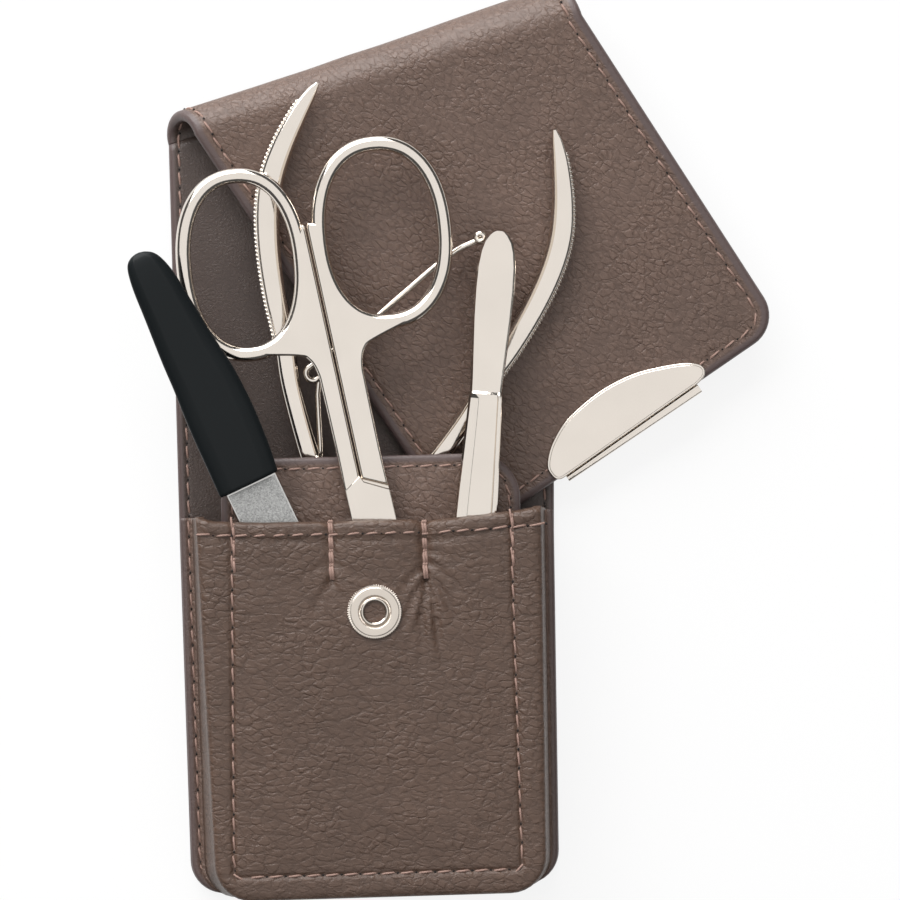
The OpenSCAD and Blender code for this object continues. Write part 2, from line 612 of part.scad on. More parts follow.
nippers_at = [-3.9, 10.0, 6.2];
nippers_angle = -12.3;
nippers_rise = 6;
handle_path = [[3.6, 5.6], [6.9, 10.8], [10.3, 16], [15.9, 27.6], [18.6, 35.5], [21.6, 42.5], [24.2, 50],
    [25.8, 57], [26.2, 63], [25.4, 69], [23.8, 75], [22.3, 79.2], [21.4, 81.2]];
grip_half = [2.0, 1.9, 1.8, 1.8, 1.9, 2.0, 2.1, 2.2, 2.2, 2.0, 1.6, 1.0, 0.4];
grip_thick = [2.1, 2.0, 1.9, 1.9, 1.9, 1.8, 1.8, 1.8, 1.7, 1.5, 1.2, 0.9, 0.5];
boss_gap = 0.35;
jaw_w = 4.6;
jaw_t = 3.8;
module nipper_half(s) {
    // s is -1 on the left half, whose boss is the front one
    t = nipper_half_t;
    difference() {
        union() {
            translate([0, 0, -t]) cylinder(h = 2 * t, r = boss_r, $fn = 64);
            sweep([for (p = handle_path) [s * p.x, p.y, 0]], grip_half, grip_thick, n = 10);
            translate([0, 0, -2.0]) linear_extrude(4.0)
                polygon([[s * -0.6, 2], [s * 2.0, -1], [s * 5.5, 4.6], [s * 8.2, 9.8], [s * 5.4, 11.6], [s * 1.9, 6.6]]);
            rotate([0, 0, -s * jaw_open / 2]) translate([0, 0, -jaw_t / 2]) linear_extrude(jaw_t)
                polygon([[s * -0.05, 0], [s * -0.05, -jaw_l + 0.2], [s * -0.5, -jaw_l], [s * -2.2, -jaw_l + 1.6],
                    [s * -jaw_w, -jaw_l * 0.6], [s * -jaw_w, -jaw_l * 0.3], [s * -boss_r * 0.8, 0]]);
        }
        translate([0, 0, s < 0 ? -10 + half_gap : -half_gap]) cylinder(h = 10, r = boss_r + boss_gap, $fn = 64);
        translate([0, 0, -5]) cylinder(h = 10, r = nipper_screw_r + screw_fit, $fn = 48);
    }
}
module nipper_half_left() {
    color(nickel) tool(nippers_at, nippers_angle, nippers_rise) nipper_half(-1);
}
module nipper_half_right() {
    color(nickel) tool(nippers_at, nippers_angle, nippers_rise) nipper_half(1);
}
module nipper_screw() {
    color(nickel) tool(nippers_at, nippers_angle, nippers_rise) difference() {
        union() {
            translate([0, 0, -nipper_half_t]) cylinder(h = 2 * nipper_half_t + half_gap, r = nipper_screw_r, $fn = 48);
            translate([0, 0, nipper_half_t + half_gap]) cylinder(h = 0.7, r = 3, $fn = 48);
        }
        translate([-4, -0.35, nipper_half_t + 0.4]) cube([8, 0.7, 2]);
    }
}
// Spring: a wire that rises from the left handle, turns twice and runs across to its eye
coil_at = [-12.4, 30.6];
wire_gap = 0.3;
root_path = [[-8.2, 13.6], [-8.3, 15.4], [-8.7, 18], [-9.8, 22.4], [-10.9, 27]];
arm_path = [[-6.4, 38.8], [0.6, 47.6], [5.2, 53.4], [8.6, 56.6], [11, 58.4]];
eye_at = [12.6, 60.0];
eye_r = 0.95;
function coil(z, from, to) = [for (i = [0:20]) let (a = from + (to - from) * i / 20)
    [coil_at.x + coil_r * cos(a), coil_at.y + coil_r * sin(a), z]];
module nipper_spring_root() {
    z = -(wire_d + wire_gap) / 2;
    color(nickel) tool(nippers_at, nippers_angle, nippers_rise)
        sweep(concat([for (p = root_path) [p.x, p.y, z]], coil(z, -20, 300)), wire_d / 2, wire_d / 2);
}
module nipper_spring_arm() {
    z = (wire_d + wire_gap) / 2;
    color(nickel) tool(nippers_at, nippers_angle, nippers_rise)
        sweep(concat(coil(z, 440, 133), [for (p = arm_path) [p.x, p.y, z]],
            [for (a = [-110:29:180]) [eye_at.x + eye_r * cos(a), eye_at.y + eye_r * sin(a), z]]),
            wire_d / 2, wire_d / 2);
}

back_panel();
back_lining();
gusset();
inner_panel();
divider_tacks();
front_panel();
front_lining();
socket_flange();
socket_spring();
socket_post();
socket_washer();
upper_panel();
upper_lining();
fold_outer();
fold_lining();
flap_outer();
flap_lining();
closure_plate();
closure_clip();
press_stud();
stud_rivet();
file_handle();
file_blade();
file_abrasive_front();
file_abrasive_back();
scissor_half_right();
scissor_half_left();
scissor_screw();
tweezer_front_arm();
tweezer_rear_arm();
tweezer_spacer();
nipper_half_left();
nipper_half_right();
nipper_screw();
nipper_spring_root();
nipper_spring_arm();
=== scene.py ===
import math
import bmesh
import bpy
from mathutils import Matrix, Vector, noise


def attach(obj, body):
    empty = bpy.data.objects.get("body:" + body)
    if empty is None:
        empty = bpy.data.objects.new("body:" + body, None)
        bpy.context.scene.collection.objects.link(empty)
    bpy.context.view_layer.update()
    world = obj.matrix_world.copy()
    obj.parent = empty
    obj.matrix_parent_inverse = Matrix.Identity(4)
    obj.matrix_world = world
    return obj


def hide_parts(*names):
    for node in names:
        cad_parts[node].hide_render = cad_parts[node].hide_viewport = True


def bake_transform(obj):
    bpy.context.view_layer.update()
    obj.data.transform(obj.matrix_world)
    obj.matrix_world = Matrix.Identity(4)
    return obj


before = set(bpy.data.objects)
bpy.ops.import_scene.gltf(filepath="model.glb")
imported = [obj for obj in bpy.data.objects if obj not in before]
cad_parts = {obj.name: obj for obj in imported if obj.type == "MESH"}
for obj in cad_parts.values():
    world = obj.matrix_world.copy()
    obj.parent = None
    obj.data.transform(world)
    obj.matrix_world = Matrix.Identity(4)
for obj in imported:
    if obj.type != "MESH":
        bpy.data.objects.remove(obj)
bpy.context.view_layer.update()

scene = bpy.context.scene

# Studio. The case lies on a white table under a large soft lamp, seen from straight above and
# a little from the left. All sizes in this file are in millimetres, from the back face under
# the press stud, and MM turns them into metres.
MM = 0.001
look_at = Vector((14.5, 28.0, 10.0))
eye = Vector((-19.5, 28.0, 650.0))
camera_roll = math.radians(1.4)
camera = bpy.data.objects.new("camera", bpy.data.cameras.new("camera"))
scene.collection.objects.link(camera)
camera.data.lens = 143.6
camera.data.sensor_width = 36
camera.data.clip_start = 0.01
camera.data.clip_end = 20
sight = (look_at - eye).normalized()
side = sight.cross(Vector((0, 1, 0))).normalized()
rise = side.cross(sight)
picture_right = side * math.cos(camera_roll) - rise * math.sin(camera_roll)
picture_up = rise * math.cos(camera_roll) + side * math.sin(camera_roll)
camera.matrix_world = (Matrix.Translation(eye * MM)
                       @ Matrix((picture_right, picture_up, -sight)).transposed().to_4x4())
scene.camera = camera
scene.view_settings.view_transform = "Standard"


def add_node(tree, kind, *values, **settings):
    """A shader or geometry node. Values go to its inputs in order and capitalised settings to
    its inputs by name, each a constant or an output to link; other settings are properties."""
    node = tree.nodes.new(kind)
    for name, value in settings.items():
        if name.islower():
            setattr(node, name, value)
    for name, value in [*enumerate(values), *settings.items()]:
        if isinstance(value, bpy.types.NodeSocket):
            tree.links.new(value, node.inputs[name])
        elif isinstance(name, int) or not name.islower():
            node.inputs[name].default_value = value
    return node


def start_material(name):
    material = bpy.data.materials.new(name)
    material.use_nodes = True
    material.node_tree.nodes.clear()
    return material, material.node_tree


def white_table(half_width=3.0, self_lit=0.84, below=0.0002):
    """A table that is white to the camera and in mirrors, and still takes soft shadows."""
    paper, tree = start_material("white_table")
    rays = add_node(tree, "ShaderNodeLightPath").outputs
    seen = rays["Is Camera Ray"]
    for kind in ("Is Glossy Ray", "Is Transmission Ray"):
        seen = add_node(tree, "ShaderNodeMath", seen, rays[kind], operation="MAXIMUM").outputs[0]
    share = add_node(tree, "ShaderNodeMath", seen, self_lit, operation="MULTIPLY").outputs[0]
    lit = add_node(tree, "ShaderNodeBsdfDiffuse", Color=(0.9, 0.9, 0.9, 1)).outputs[0]
    white = add_node(tree, "ShaderNodeEmission", Color=(1, 1, 1, 1), Strength=1.0).outputs[0]
    mixed = add_node(tree, "ShaderNodeMixShader", share, lit, white).outputs[0]
    add_node(tree, "ShaderNodeOutputMaterial", Surface=mixed)
    mesh = bpy.data.meshes.new("table")
    corners = [(x * half_width, y * half_width, 0) for x, y in ((-1, -1), (1, -1), (1, 1), (-1, 1))]
    mesh.from_pydata(corners, [], [(0, 1, 2, 3)])
    mesh.materials.append(paper)
    table = bpy.data.objects.new("table", mesh)
    table.location.z = -below
    scene.collection.objects.link(table)


white_table()
world = bpy.data.worlds.new("room")
scene.world = world
world.use_nodes = True
room_light = world.node_tree.nodes["Background"].inputs
room_light["Color"].default_value = (1, 1, 1, 1)
room_light["Strength"].default_value = 0.09
lamp_target = Vector((0.015, 0.03, 0))
for name, place, size, watts in (("top_lamp", (0.0, 0.05, 1.1), 2.0, 11.2),
                                 ("far_lamp", (-0.5, 1.3, 0.65), 1.6, 46.0)):
    lamp = bpy.data.lights.new(name, "AREA")
    lamp.shape = "SQUARE"
    lamp.size = size
    lamp.energy = watts
    holder = bpy.data.objects.new(name, lamp)
    holder.location = place
    holder.rotation_euler = (Vector(place) - lamp_target).to_track_quat("Z", "Y").to_euler()
    scene.collection.objects.link(holder)


# Outer leather. One taupe sheet, pebbled calf with a polished, darker purple-brown band along its
# cut edges, backed with a smoother brown lining. The two are glued and sewn along the edges.
EDGE_BAND = (0.098, 0.068, 0.064)


def surface(tree, colour, roughness, normal, **settings):
    """The Principled surface at a material's end."""
    skin = add_node(tree, "ShaderNodeBsdfPrincipled", **settings, Roughness=roughness, Normal=normal,
                    **{"Base Color": colour})
    add_node(tree, "ShaderNodeOutputMaterial", Surface=skin.outputs[0])


def speckle(tree, place, size, detail, roughness=0.5):
    """Noise with spots of that size in millimetres."""
    return add_node(tree, "ShaderNodeTexNoise", Vector=place, Scale=1 / (size * MM), Detail=detail,
                    Roughness=roughness).outputs["Fac"]


def mapped(tree, source, low, high, to_low=0.0, to_high=1.0, kind="LINEAR"):
    return add_node(tree, "ShaderNodeMapRange", source, low, high, to_low, to_high,
                    interpolation_type=kind).outputs["Result"]


def mixed_colour(tree, share, first, second):
    mix = add_node(tree, "ShaderNodeMix", data_type="RGBA", Factor=share, A=first, B=second)
    return mix.outputs["Result"]


def leather_material(name, colour, dark, cell, depth, crease, roughness, stretch=(1, 1, 1), turn=0.0):
    """Pebbled leather: cells of that size and depth, with long shallow creases across them.
    The mesh attribute rim is 1 on a polished edge and 0 on the open grain."""
    material, tree = start_material(name)

    def weigh(source, factor, more=0.0):
        return add_node(tree, "ShaderNodeMath", source, factor, more,
                        operation="MULTIPLY_ADD").outputs[0]

    def cells(size, feature, reach, centre, edge, **settings):
        """Voronoi cells: a value at their centre or edge that changes over the reach."""
        pattern = add_node(tree, "ShaderNodeTexVoronoi", feature=feature, Vector=warped,
                           Scale=1 / (size * cell * MM), **settings)
        return mapped(tree, pattern.outputs["Distance"], 0.0, reach, centre, edge, "SMOOTHSTEP")

    place = add_node(tree, "ShaderNodeTexCoord").outputs["Object"]
    turned = add_node(tree, "ShaderNodeMapping", vector_type="TEXTURE", Vector=place,
                      Rotation=(0, 0, math.radians(turn)), Scale=stretch).outputs[0]
    wander = add_node(tree, "ShaderNodeTexNoise", Vector=turned, Scale=1 / (cell * 1.5 * MM),
                      Detail=4.0, Roughness=0.65).outputs["Color"]
    warped = add_node(tree, "ShaderNodeVectorMath", wander, (cell * 1.15 * MM,) * 3, turned,
                      operation="MULTIPLY_ADD").outputs[0]
    relief = weigh(cells(1.0, "SMOOTH_F1", 0.7, 1.0, 0.0, Smoothness=0.6), 0.62)
    relief = weigh(cells(1.15, "DISTANCE_TO_EDGE", 0.2, 0.0, 1.0), 0.48, relief)
    relief = weigh(relief, mapped(tree, speckle(tree, place, cell * 6, 2.0), 0.36, 0.62, 0.5, 1.0))
    relief = weigh(cells(3.1, "DISTANCE_TO_EDGE", 0.1, 0.0, 1.0), crease, relief)
    relief = weigh(speckle(tree, place, 0.2, 3.0, 0.65), 0.16, relief)
    rim = add_node(tree, "ShaderNodeAttribute", attribute_name="rim").outputs["Fac"]
    bump = add_node(tree, "ShaderNodeBump", Strength=mapped(tree, rim, 0.0, 1.0, 1.0, 0.22),
                    Distance=depth * MM, Height=relief)
    # Creases and the edges of the pebbles are painted darker as painted shade, and the hide is a little
    # uneven in tone
    crease_shaded_colour = mixed_colour(tree, mapped(tree, relief, 0.1, 0.8), (*dark, 1), (*colour, 1))
    tone = mapped(tree, speckle(tree, place, 24, 3.0), 0.3, 0.7, 0.93, 1.07)
    uneven = add_node(tree, "ShaderNodeVectorMath", crease_shaded_colour, operation="SCALE", Scale=tone).outputs[0]
    surface(tree, mixed_colour(tree, rim, uneven, (*EDGE_BAND, 1)),
            mapped(tree, relief, 0.0, 1.3, roughness + 0.08, roughness - 0.05), bump.outputs[0],
            **{"Specular IOR Level": 0.5})
    return material


# The back and flap's leather is coloured lighter than the front's soft leather, as painted light on the
# flap; in each leather the second colour is painted into its creases as shade.
pebbled = leather_material("pebbled_leather", (0.136, 0.085, 0.064), (0.098, 0.060, 0.045), cell=1.05,
                           depth=0.15, crease=0.16, roughness=0.40, stretch=(1.35, 0.9, 1.0), turn=-38)
soft_pebbled = leather_material("soft_pebbled_leather", (0.092, 0.053, 0.036), (0.071, 0.041, 0.028),
                                cell=1.25, depth=0.145, crease=0.22, roughness=0.44,
                                stretch=(1.4, 0.85, 1.0), turn=-9)
# The lining is its own darker brown, darkened further as painted shade.
shade_darkened_lining = leather_material("shade_darkened_lining", (0.068, 0.046, 0.038), (0.052, 0.035, 0.029),
                                 cell=0.5, depth=0.05, crease=0.2, roughness=0.4)


def make_piece(name, points, faces, materials, face_materials=None, rims=None):
    """A piece in the shared frame, from points in millimetres."""
    mesh = bpy.data.meshes.new(name)
    mesh.from_pydata([Vector(p) * MM for p in points], [], faces)
    for material in materials:
        mesh.materials.append(material)
    if face_materials:
        mesh.polygons.foreach_set("material_index", face_materials)
    if rims:
        mesh.attributes.new("rim", "FLOAT", "POINT").data.foreach_set("value", rims)
    mesh.polygons.foreach_set("use_smooth", [True] * len(mesh.polygons))
    mesh.update()
    piece = bpy.data.objects.new(name, mesh)
    scene.collection.objects.link(piece)
    return piece


def grid_faces(rows, count, around=False, closed=False, ends=False):
    """Quads between rows of points: around joins each row's ends, closed joins the last row to
    the first, and ends caps the first and the last row."""
    pairs = [(k, (k + 1) % count) for k in range(count if around else count - 1)]
    steps = [(r * count, (r + 1) % rows * count) for r in range(rows if closed else rows - 1)]
    faces = [(here + a, here + b, there + b, there + a) for here, there in steps for a, b in pairs]
    if ends:
        faces += [tuple(range(count)), tuple((rows - 1) * count + k for k in range(count))]
    return faces


def on_circle(radius, degrees, x=0.0, y=0.0):
    """The x and y of a point on a circle round (x, y)."""
    turn = math.radians(degrees)
    return x + radius * math.cos(turn), y + radius * math.sin(turn)


def corner_steps(radius, step):
    """Distances from a sheet's end that follow its rounded corner in equal angles."""
    return [radius - on_circle(radius, a)[0] for a in range(0, 91, step)]


def smoothstep(low, high, x):
    t = min(1.0, max(0.0, (x - low) / (high - low)))
    return t * t * (3 - 2 * t)


SHEET = 2.0
soft_from, soft_to = 10.5, 15.5
mid_x = -0.35
pouch_bottom = -50.9
hinge_y = 13.0
back_corner = 6.0
fold_turn, flap_turn = math.radians(16), math.radians(32)
fold_slope = math.tan(fold_turn)
fold_left = Vector((-34.45, 84.1, 0))
fold_right = Vector((35.7, fold_left.y + (35.7 - fold_left.x) * fold_slope, 0))
back_seam, flap_seam = 1.8, 2.6
down, up = Vector((0, 0, -1)), Vector((0, 0, 1))
sheet_middle = up * (SHEET / 2)


def back_side(y):
    """Left and right edge of the back sheet at height y, below the hinge."""
    half = 66.5 / 2 + 0.6 * (y - pouch_bottom) / (hinge_y - pouch_bottom)
    return Vector((mid_x - half, y, 0)), Vector((mid_x + half, y, 0))


def edge_steps(width, coarse_count=56):
    """Distances across a sheet, close together at both edges and along the seams."""
    fine = (0, 0.04, 0.14, 0.3, 0.52, 0.8, 1.15, 1.4, 1.6, 1.8, 2.0, 2.2, 2.4, 2.6, 2.8, 3.1, 3.6, 4.4)
    inner = width - 2 * fine[-1]
    middle = [fine[-1] + inner * i / coarse_count for i in range(1, coarse_count)]
    return list(fine) + middle + [width - d for d in reversed(fine)]


def rim_height(d, seam, edge_radius=0.95):
    """Share of the full thickness at distance d from the edge, with a groove along the seam."""
    t = min(1.0, d / edge_radius)
    return (1 - (1 - t) ** 2) ** 0.5 - 0.15 * math.exp(-((d - seam) / 0.3) ** 2)


def edge_gap(across, width, along, radius):
    """Distance to the nearest edge of a sheet whose end has rounded corners."""
    near = min(across, width - across)
    if along < radius and near < radius:
        return max(0.0, radius - math.hypot(radius - near, radius - along))
    return min(near, along)


def corner_cut(along, radius):
    """How much shorter a sheet's row is on each side, this far from its rounded end."""
    if along >= radius:
        return 0.0
    return radius - math.sqrt(max(0.0, radius ** 2 - (radius - along) ** 2))


def sway(p, amount):
    """Slow unevenness of a leather sheet that lies free."""
    return amount * noise.noise(p / 23 + Vector((3.1, 0.4, 1.7))) + amount * 0.4 * noise.noise(p / 9)


def leather_sheet(name, rows, bend=0.0, thickness=SHEET, lining=shade_darkened_lining):
    """A closed sheet through rows of (point, normal to the outer side, distance to the edge,
    inset of its seam). Its two faces are pebbled leather and the lining."""
    count = len(rows[0])
    points, rims = [], []
    for outward in (1, -1):
        for row in rows:
            for p, n, gap, seam in row:
                lift = sway(p, bend) * smoothstep(0, 12, gap)
                points.append(p + n * (outward * rim_height(gap, seam) * thickness / 2 + lift))
                rims.append(1 - smoothstep(0.75 * seam - 0.6, 0.75 * seam - 0.1, gap))
    total = len(rows) * count
    outer = [face[::-1] for face in grid_faces(len(rows), count)]
    inner = [tuple(i + total for i in face[::-1]) for face in outer]
    last = len(rows) - 1
    loop = [r * count for r in range(last)] + [last * count + c for c in range(count - 1)]
    loop += [r * count + count - 1 for r in range(last, 0, -1)] + list(range(count - 1, 0, -1))
    edge = [(a, a + total, b + total, b) for a, b in zip(loop, loop[1:] + loop[:1])]
    kinds = [0] * len(outer) + [1] * len(inner) + [0] * len(edge)
    sheet = make_piece(name, points, outer + inner + edge, [pebbled, lining], kinds, rims)
    tidy_mesh(sheet)
    return sheet


def tidy_mesh(piece, weld=0.004):
    """Welds points that coincide, drops faces without area and turns every face outwards."""
    work = bmesh.new()
    work.from_mesh(piece.data)
    bmesh.ops.remove_doubles(work, verts=work.verts, dist=weld * MM)
    bmesh.ops.dissolve_degenerate(work, edges=work.edges, dist=weld * MM * 0.1)
    bmesh.ops.recalc_face_normals(work, faces=work.faces)
    work.to_mesh(piece.data)
    work.free()
    piece.data.update()


back_rows = []
straight = [back_corner + (hinge_y - pouch_bottom - back_corner) * i / 40 for i in range(1, 41)]
for along in corner_steps(back_corner, 9) + straight:
    left, right = back_side(pouch_bottom + along)
    width = right.x - left.x
    cut = corner_cut(along, back_corner)
    back_rows.append([(left + Vector((cut + d, 0, 0)) + sheet_middle, down,
                       edge_gap(cut + d, width, along, back_corner), back_seam)
                      for d in edge_steps(width - 2 * cut)])
for i in range(1, 56):
    t = i / 55
    left = back_side(hinge_y)[0].lerp(fold_left, t)
    right = back_side(hinge_y)[1].lerp(fold_right, t)
    width = right.x - left.x
    back_rows.append([(left.lerp(right, d / width) + sheet_middle, down, min(d, width - d), back_seam)
                      for d in edge_steps(width)])
back_sheet = leather_sheet("back_sheet", back_rows)
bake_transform(back_sheet)
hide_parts("back_panel", "back_lining", "upper_panel", "upper_lining")

# The flap. The same sheet goes on over an oblique fold and lies open to the right, so its end
# is turned by twice the angle of the fold. The corners are cut round and its end takes the plate.
flap_left, flap_width = 20.4, 69.4
flap_right = flap_left + flap_width
flap_end, flap_skew, flap_corner = 1.2, 1.6, 6.0
flap_frame = (Matrix.Translation((0, 0, 1.45)) @ Matrix.Rotation(math.radians(-1.2), 4, "Y")
              @ Matrix.Rotation(math.radians(5.7), 4, "X") @ Matrix.Rotation(flap_turn, 4, "Z"))
flap_up = flap_frame.to_3x3() @ Vector((0, 0, 1))
fold_out = Vector((-math.sin(fold_turn), math.cos(fold_turn), 0))
flap_sway = 0.3


def flap_top(x):
    """Height of the fold line in the flap's own frame, at sideways place x."""
    across, up = math.cos(flap_turn), math.sin(flap_turn)
    return ((fold_left.y - fold_slope * fold_left.x - x * (up - fold_slope * across))
            / (across + fold_slope * up))


def flap_low(x):
    """Height of the flap's end at x: it is cut a little askew."""
    return flap_end + flap_skew * ((x - flap_left) / flap_width - 0.5)


def roll_point(share, turn):
    """Middle of the sheet on the fold, share of the way from left to right."""
    ends = []
    for x, foot in ((flap_left, fold_left), (flap_right, fold_right)):
        e = flap_frame @ Vector((x, flap_top(x), 0))
        s = foot + sheet_middle
        bulge = fold_out * (e.z - s.z) / 2 * math.sin(turn)
        ends.append(s + (e - s) * (1 - math.cos(turn)) / 2 + bulge)
    return ends[0].lerp(ends[1], share)


flap_rows = []
roll_steps = 28
for i in range(roll_steps):
    turn = math.pi * i / roll_steps
    out = fold_out * math.sin(turn) + Vector((0, 0, -math.cos(turn)))
    seam = back_seam + (flap_seam - back_seam) * i / roll_steps
    flap_rows.append([(roll_point(d / flap_width, turn), out, min(d, flap_width - d), seam)
                      for d in edge_steps(flap_width)])
end_rows = corner_steps(flap_corner, 9)
for i in range(60):
    row = []
    for d in edge_steps(flap_width):
        x = flap_left + d
        y = flap_top(x) + (flap_low(x) + flap_corner - flap_top(x)) * i / 60
        row.append((flap_frame @ Vector((x, y, 0)), flap_up, min(d, flap_width - d), flap_seam))
    flap_rows.append(row)
for along in end_rows[::-1]:
    row = []
    cut = corner_cut(along, flap_corner)
    for d in edge_steps(flap_width - 2 * cut):
        x = flap_left + cut + d
        row.append((flap_frame @ Vector((x, flap_low(x) + along, 0)), flap_up,
                    edge_gap(cut + d, flap_width, along, flap_corner), flap_seam))
    flap_rows.append(row)
flap_sheet = leather_sheet("flap_sheet", flap_rows, bend=flap_sway)
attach(flap_sheet, "flap")
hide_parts("fold_outer", "fold_lining", "flap_outer", "flap_lining")


# Gusset. A strip of the same leather round both sides and the bottom, sewn through its foot to
# the back sheet and pulled in along its middle, where the pouch folds when it is empty.
side_count, corner_count, bottom_count = 110, 8, 90


def u_curve(left_top, left_low, right_low, right_top, radius):
    """Points down the left side, round the bottom and up the right side, always as many."""
    left_top, left_low, right_low, right_top = map(Vector, (left_top, left_low, right_low, right_top))

    def corner(before, at, after):
        u, v = (before - at).normalized(), (after - at).normalized()
        half = math.acos(max(-1, min(1, u.dot(v)))) / 2
        centre = at + (u + v).normalized() * radius / math.sin(half)
        start, end = (at + w * radius / math.tan(half) - centre for w in (u, v))
        a0 = math.atan2(start.y, start.x)
        da = (math.atan2(end.y, end.x) - a0 + math.pi) % (2 * math.pi) - math.pi
        turns = [a0 + da * i / corner_count for i in range(corner_count + 1)]
        return [centre + radius * Vector((math.cos(a), math.sin(a))) for a in turns]

    first, second = corner(left_top, left_low, right_low), corner(left_low, right_low, right_top)
    curve = [left_top.lerp(first[0], i / side_count) for i in range(side_count)]
    curve += first
    curve += [first[-1].lerp(second[0], i / bottom_count) for i in range(1, bottom_count)]
    curve += second
    curve += [second[-1].lerp(right_top, i / side_count) for i in range(1, side_count + 1)]
    return curve


def thicken(piece, thickness):
    """Gives a sheet its thickness inwards from its outer face."""
    shell = piece.modifiers.new("thickness", "SOLIDIFY")
    shell.thickness = thickness * MM
    shell.offset = -1
    bake_modifiers(piece)


def bake_modifiers(piece):
    """Turns a piece with its modifiers into a plain mesh."""
    result = bpy.data.meshes.new_from_object(piece.evaluated_get(bpy.context.evaluated_depsgraph_get()))
    result.name = piece.name
    piece.modifiers.clear()
    piece.data = result
    bpy.context.view_layer.update()


back_u = u_curve((-34.3, 16.9), (-33.6, -50.9), (32.9, -50.9), (33.6, 16.9), 6.0)
gusset_u = u_curve((-31.9, 16.9), (-31.2, -49.6), (30.5, -49.6), (31.1, 16.9), 5.0)
gusset_rings = []
foot = ((0.3, 2.0), (0.22, 2.35), (0.4, 2.75), (0.9, 2.95), (1.5, 2.88), (1.8, 2.72), (2.1, 2.85))
for q, z in foot:
    gusset_rings.append([Vector((*(b + (g - b).normalized() * q), z))
                         for b, g in zip(back_u, gusset_u)])
for z, pull in ((3.3, 0.0), (4.3, 0.25), (5.6, 0.75), (7.0, 1.15), (8.2, 1.1), (9.6, 0.7), (11.0, 0.25),
                (12.8, 0.0)):
    ring = []
    for b, g in zip(back_u, gusset_u):
        inward = (g - b).normalized()
        fold = pull * (1 + 0.35 * noise.noise(Vector((g.x, g.y, 0)) / 7))
        ring.append(Vector((*(g + inward * (fold - 0.25)), z)))
    gusset_rings.append(ring)
gusset_points = [p for ring in gusset_rings for p in ring]
gusset_rim = [1 - smoothstep(2, 5, r) for r, ring in enumerate(gusset_rings) for p in ring]
gusset_strip = make_piece("gusset_strip", gusset_points, grid_faces(len(gusset_rings), len(back_u)),
                          [pebbled], rims=gusset_rim)
thicken(gusset_strip, 0.9)
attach(gusset_strip, "case")
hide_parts("gusset")

# Inner panel. A flat piece of leather between the two pockets. Its rounded tab stands above the
# mouth, behind the tools, with a turned and sewn hem.
tab_left, tab_right, tab_top, tab_corner, tab_foot = -26.5, 26.65, 27.3, 8.0, -49.0
inner_thickness = 1.2
inner_z = 12.6
hem_seam = 2.0
tab_rows = []
tab_straight = [tab_corner + (tab_top - tab_foot - tab_corner) * (i / 60) ** 1.2 for i in range(1, 61)]
for along in corner_steps(tab_corner, 6) + tab_straight:
    cut = corner_cut(along, tab_corner)
    width = tab_right - tab_left
    row = []
    for d in edge_steps(width - 2 * cut, 70):
        x, y = tab_left + cut + d, tab_top - along
        gap = edge_gap(cut + d, width, along, tab_corner)
        wave = 0.35 * noise.noise(Vector((x / 6, y / 9, 0.3)))
        wave *= smoothstep(1, 6, gap) * smoothstep(10, 20, y)
        row.append((Vector((x, y, inner_z + wave)), up, gap, hem_seam))
    tab_rows.append(row[::-1])
inner_sheet = leather_sheet("inner_sheet", tab_rows, thickness=inner_thickness, lining=soft_pebbled)
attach(inner_sheet, "case")
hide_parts("inner_panel")

# Front. One moulded piece of leather: a face with a creased edge, whose sides turn back to the
# inner panel. It is sewn down with a U-shaped seam, hemmed at the mouth, and held to the inner
# panel by two bar tacks, from which it wrinkles.
ridge_u = u_curve((-31.0, 17.2), (-28.9, -50.2), (29.2, -50.2), (29.9, 17.4), 6.5)
wall_u = u_curve((-31.8, 16.9), (-31.0, -50.35), (30.6, -50.35), (31.1, 16.9), 6.0)
seam_low = -45.9
seam_u = u_curve((-24.6, 17.0), (-25.7, seam_low), (24.85, seam_low), (24.3, 17.2), 0.9)
face_z = 21.15
mouth_seam_y = 13.8
# Each tack: sideways place, upper and lower end, and how deep it pulls the leather in
tacks = ((-7.35, 16.0, 6.8, 0.55), (9.1, 15.6, 6.6, 1.0))
mouth_line = ((-31, 17.1), (-27, 16.4), (-18, 16.05), (-9.5, 16.0), (-7.35, 15.75), (-5, 15.95),
              (0, 15.95), (6.5, 15.9), (9.1, 15.3), (11.5, 15.8), (18, 16.2), (24, 16.8), (30, 17.4))


def mouth_y(x):
    x = min(max(x, mouth_line[0][0]), mouth_line[-1][0] - 0.001)
    for (x0, y0), (x1, y1) in zip(mouth_line, mouth_line[1:]):
        if x < x1:
            return y0 + (y1 - y0) * smoothstep(x0, x1, x)
    return mouth_line[-1][1]


# Wrinkles below each tack: where they start, their heading in degrees, bend, length and depth
wrinkles = ((9.1, 6.2, -97, 6, 17, 0.50), (9.0, 6.4, -122, 22, 12, 0.34),
            (9.3, 6.2, -75, -14, 13, 0.42), (9.6, 7.4, -55, -22, 12, 0.30),
            (9.5, 9.6, -40, -20, 9, 0.20), (8.7, 8.4, -140, 28, 8, 0.22),
            (10.6, -1.5, -84, 10, 11, 0.22), (7.9, -0.5, -112, 14, 9, 0.20),
            (9.4, 11.8, -22, 8, 7, 0.14), (-7.5, 6.6, -122, 14, 9, 0.22),
            (-7.2, 6.4, -66, -18, 8, 0.18), (-7.4, 6.6, -98, 6, 6, 0.16),
            (-7.9, 9.8, -152, 14, 8, 0.14), (-6.8, 9.6, -30, -12, 6, 0.10))
wrinkle_steps = 12
wrinkle_lines = []
for x, y, heading, bend, length, depth in wrinkles:
    line = []
    for i in range(wrinkle_steps + 1):
        share = i / wrinkle_steps
        line.append((x, y, share))
        x, y = on_circle(length / wrinkle_steps, heading + bend * share, x, y)
    wrinkle_lines.append((line, depth))


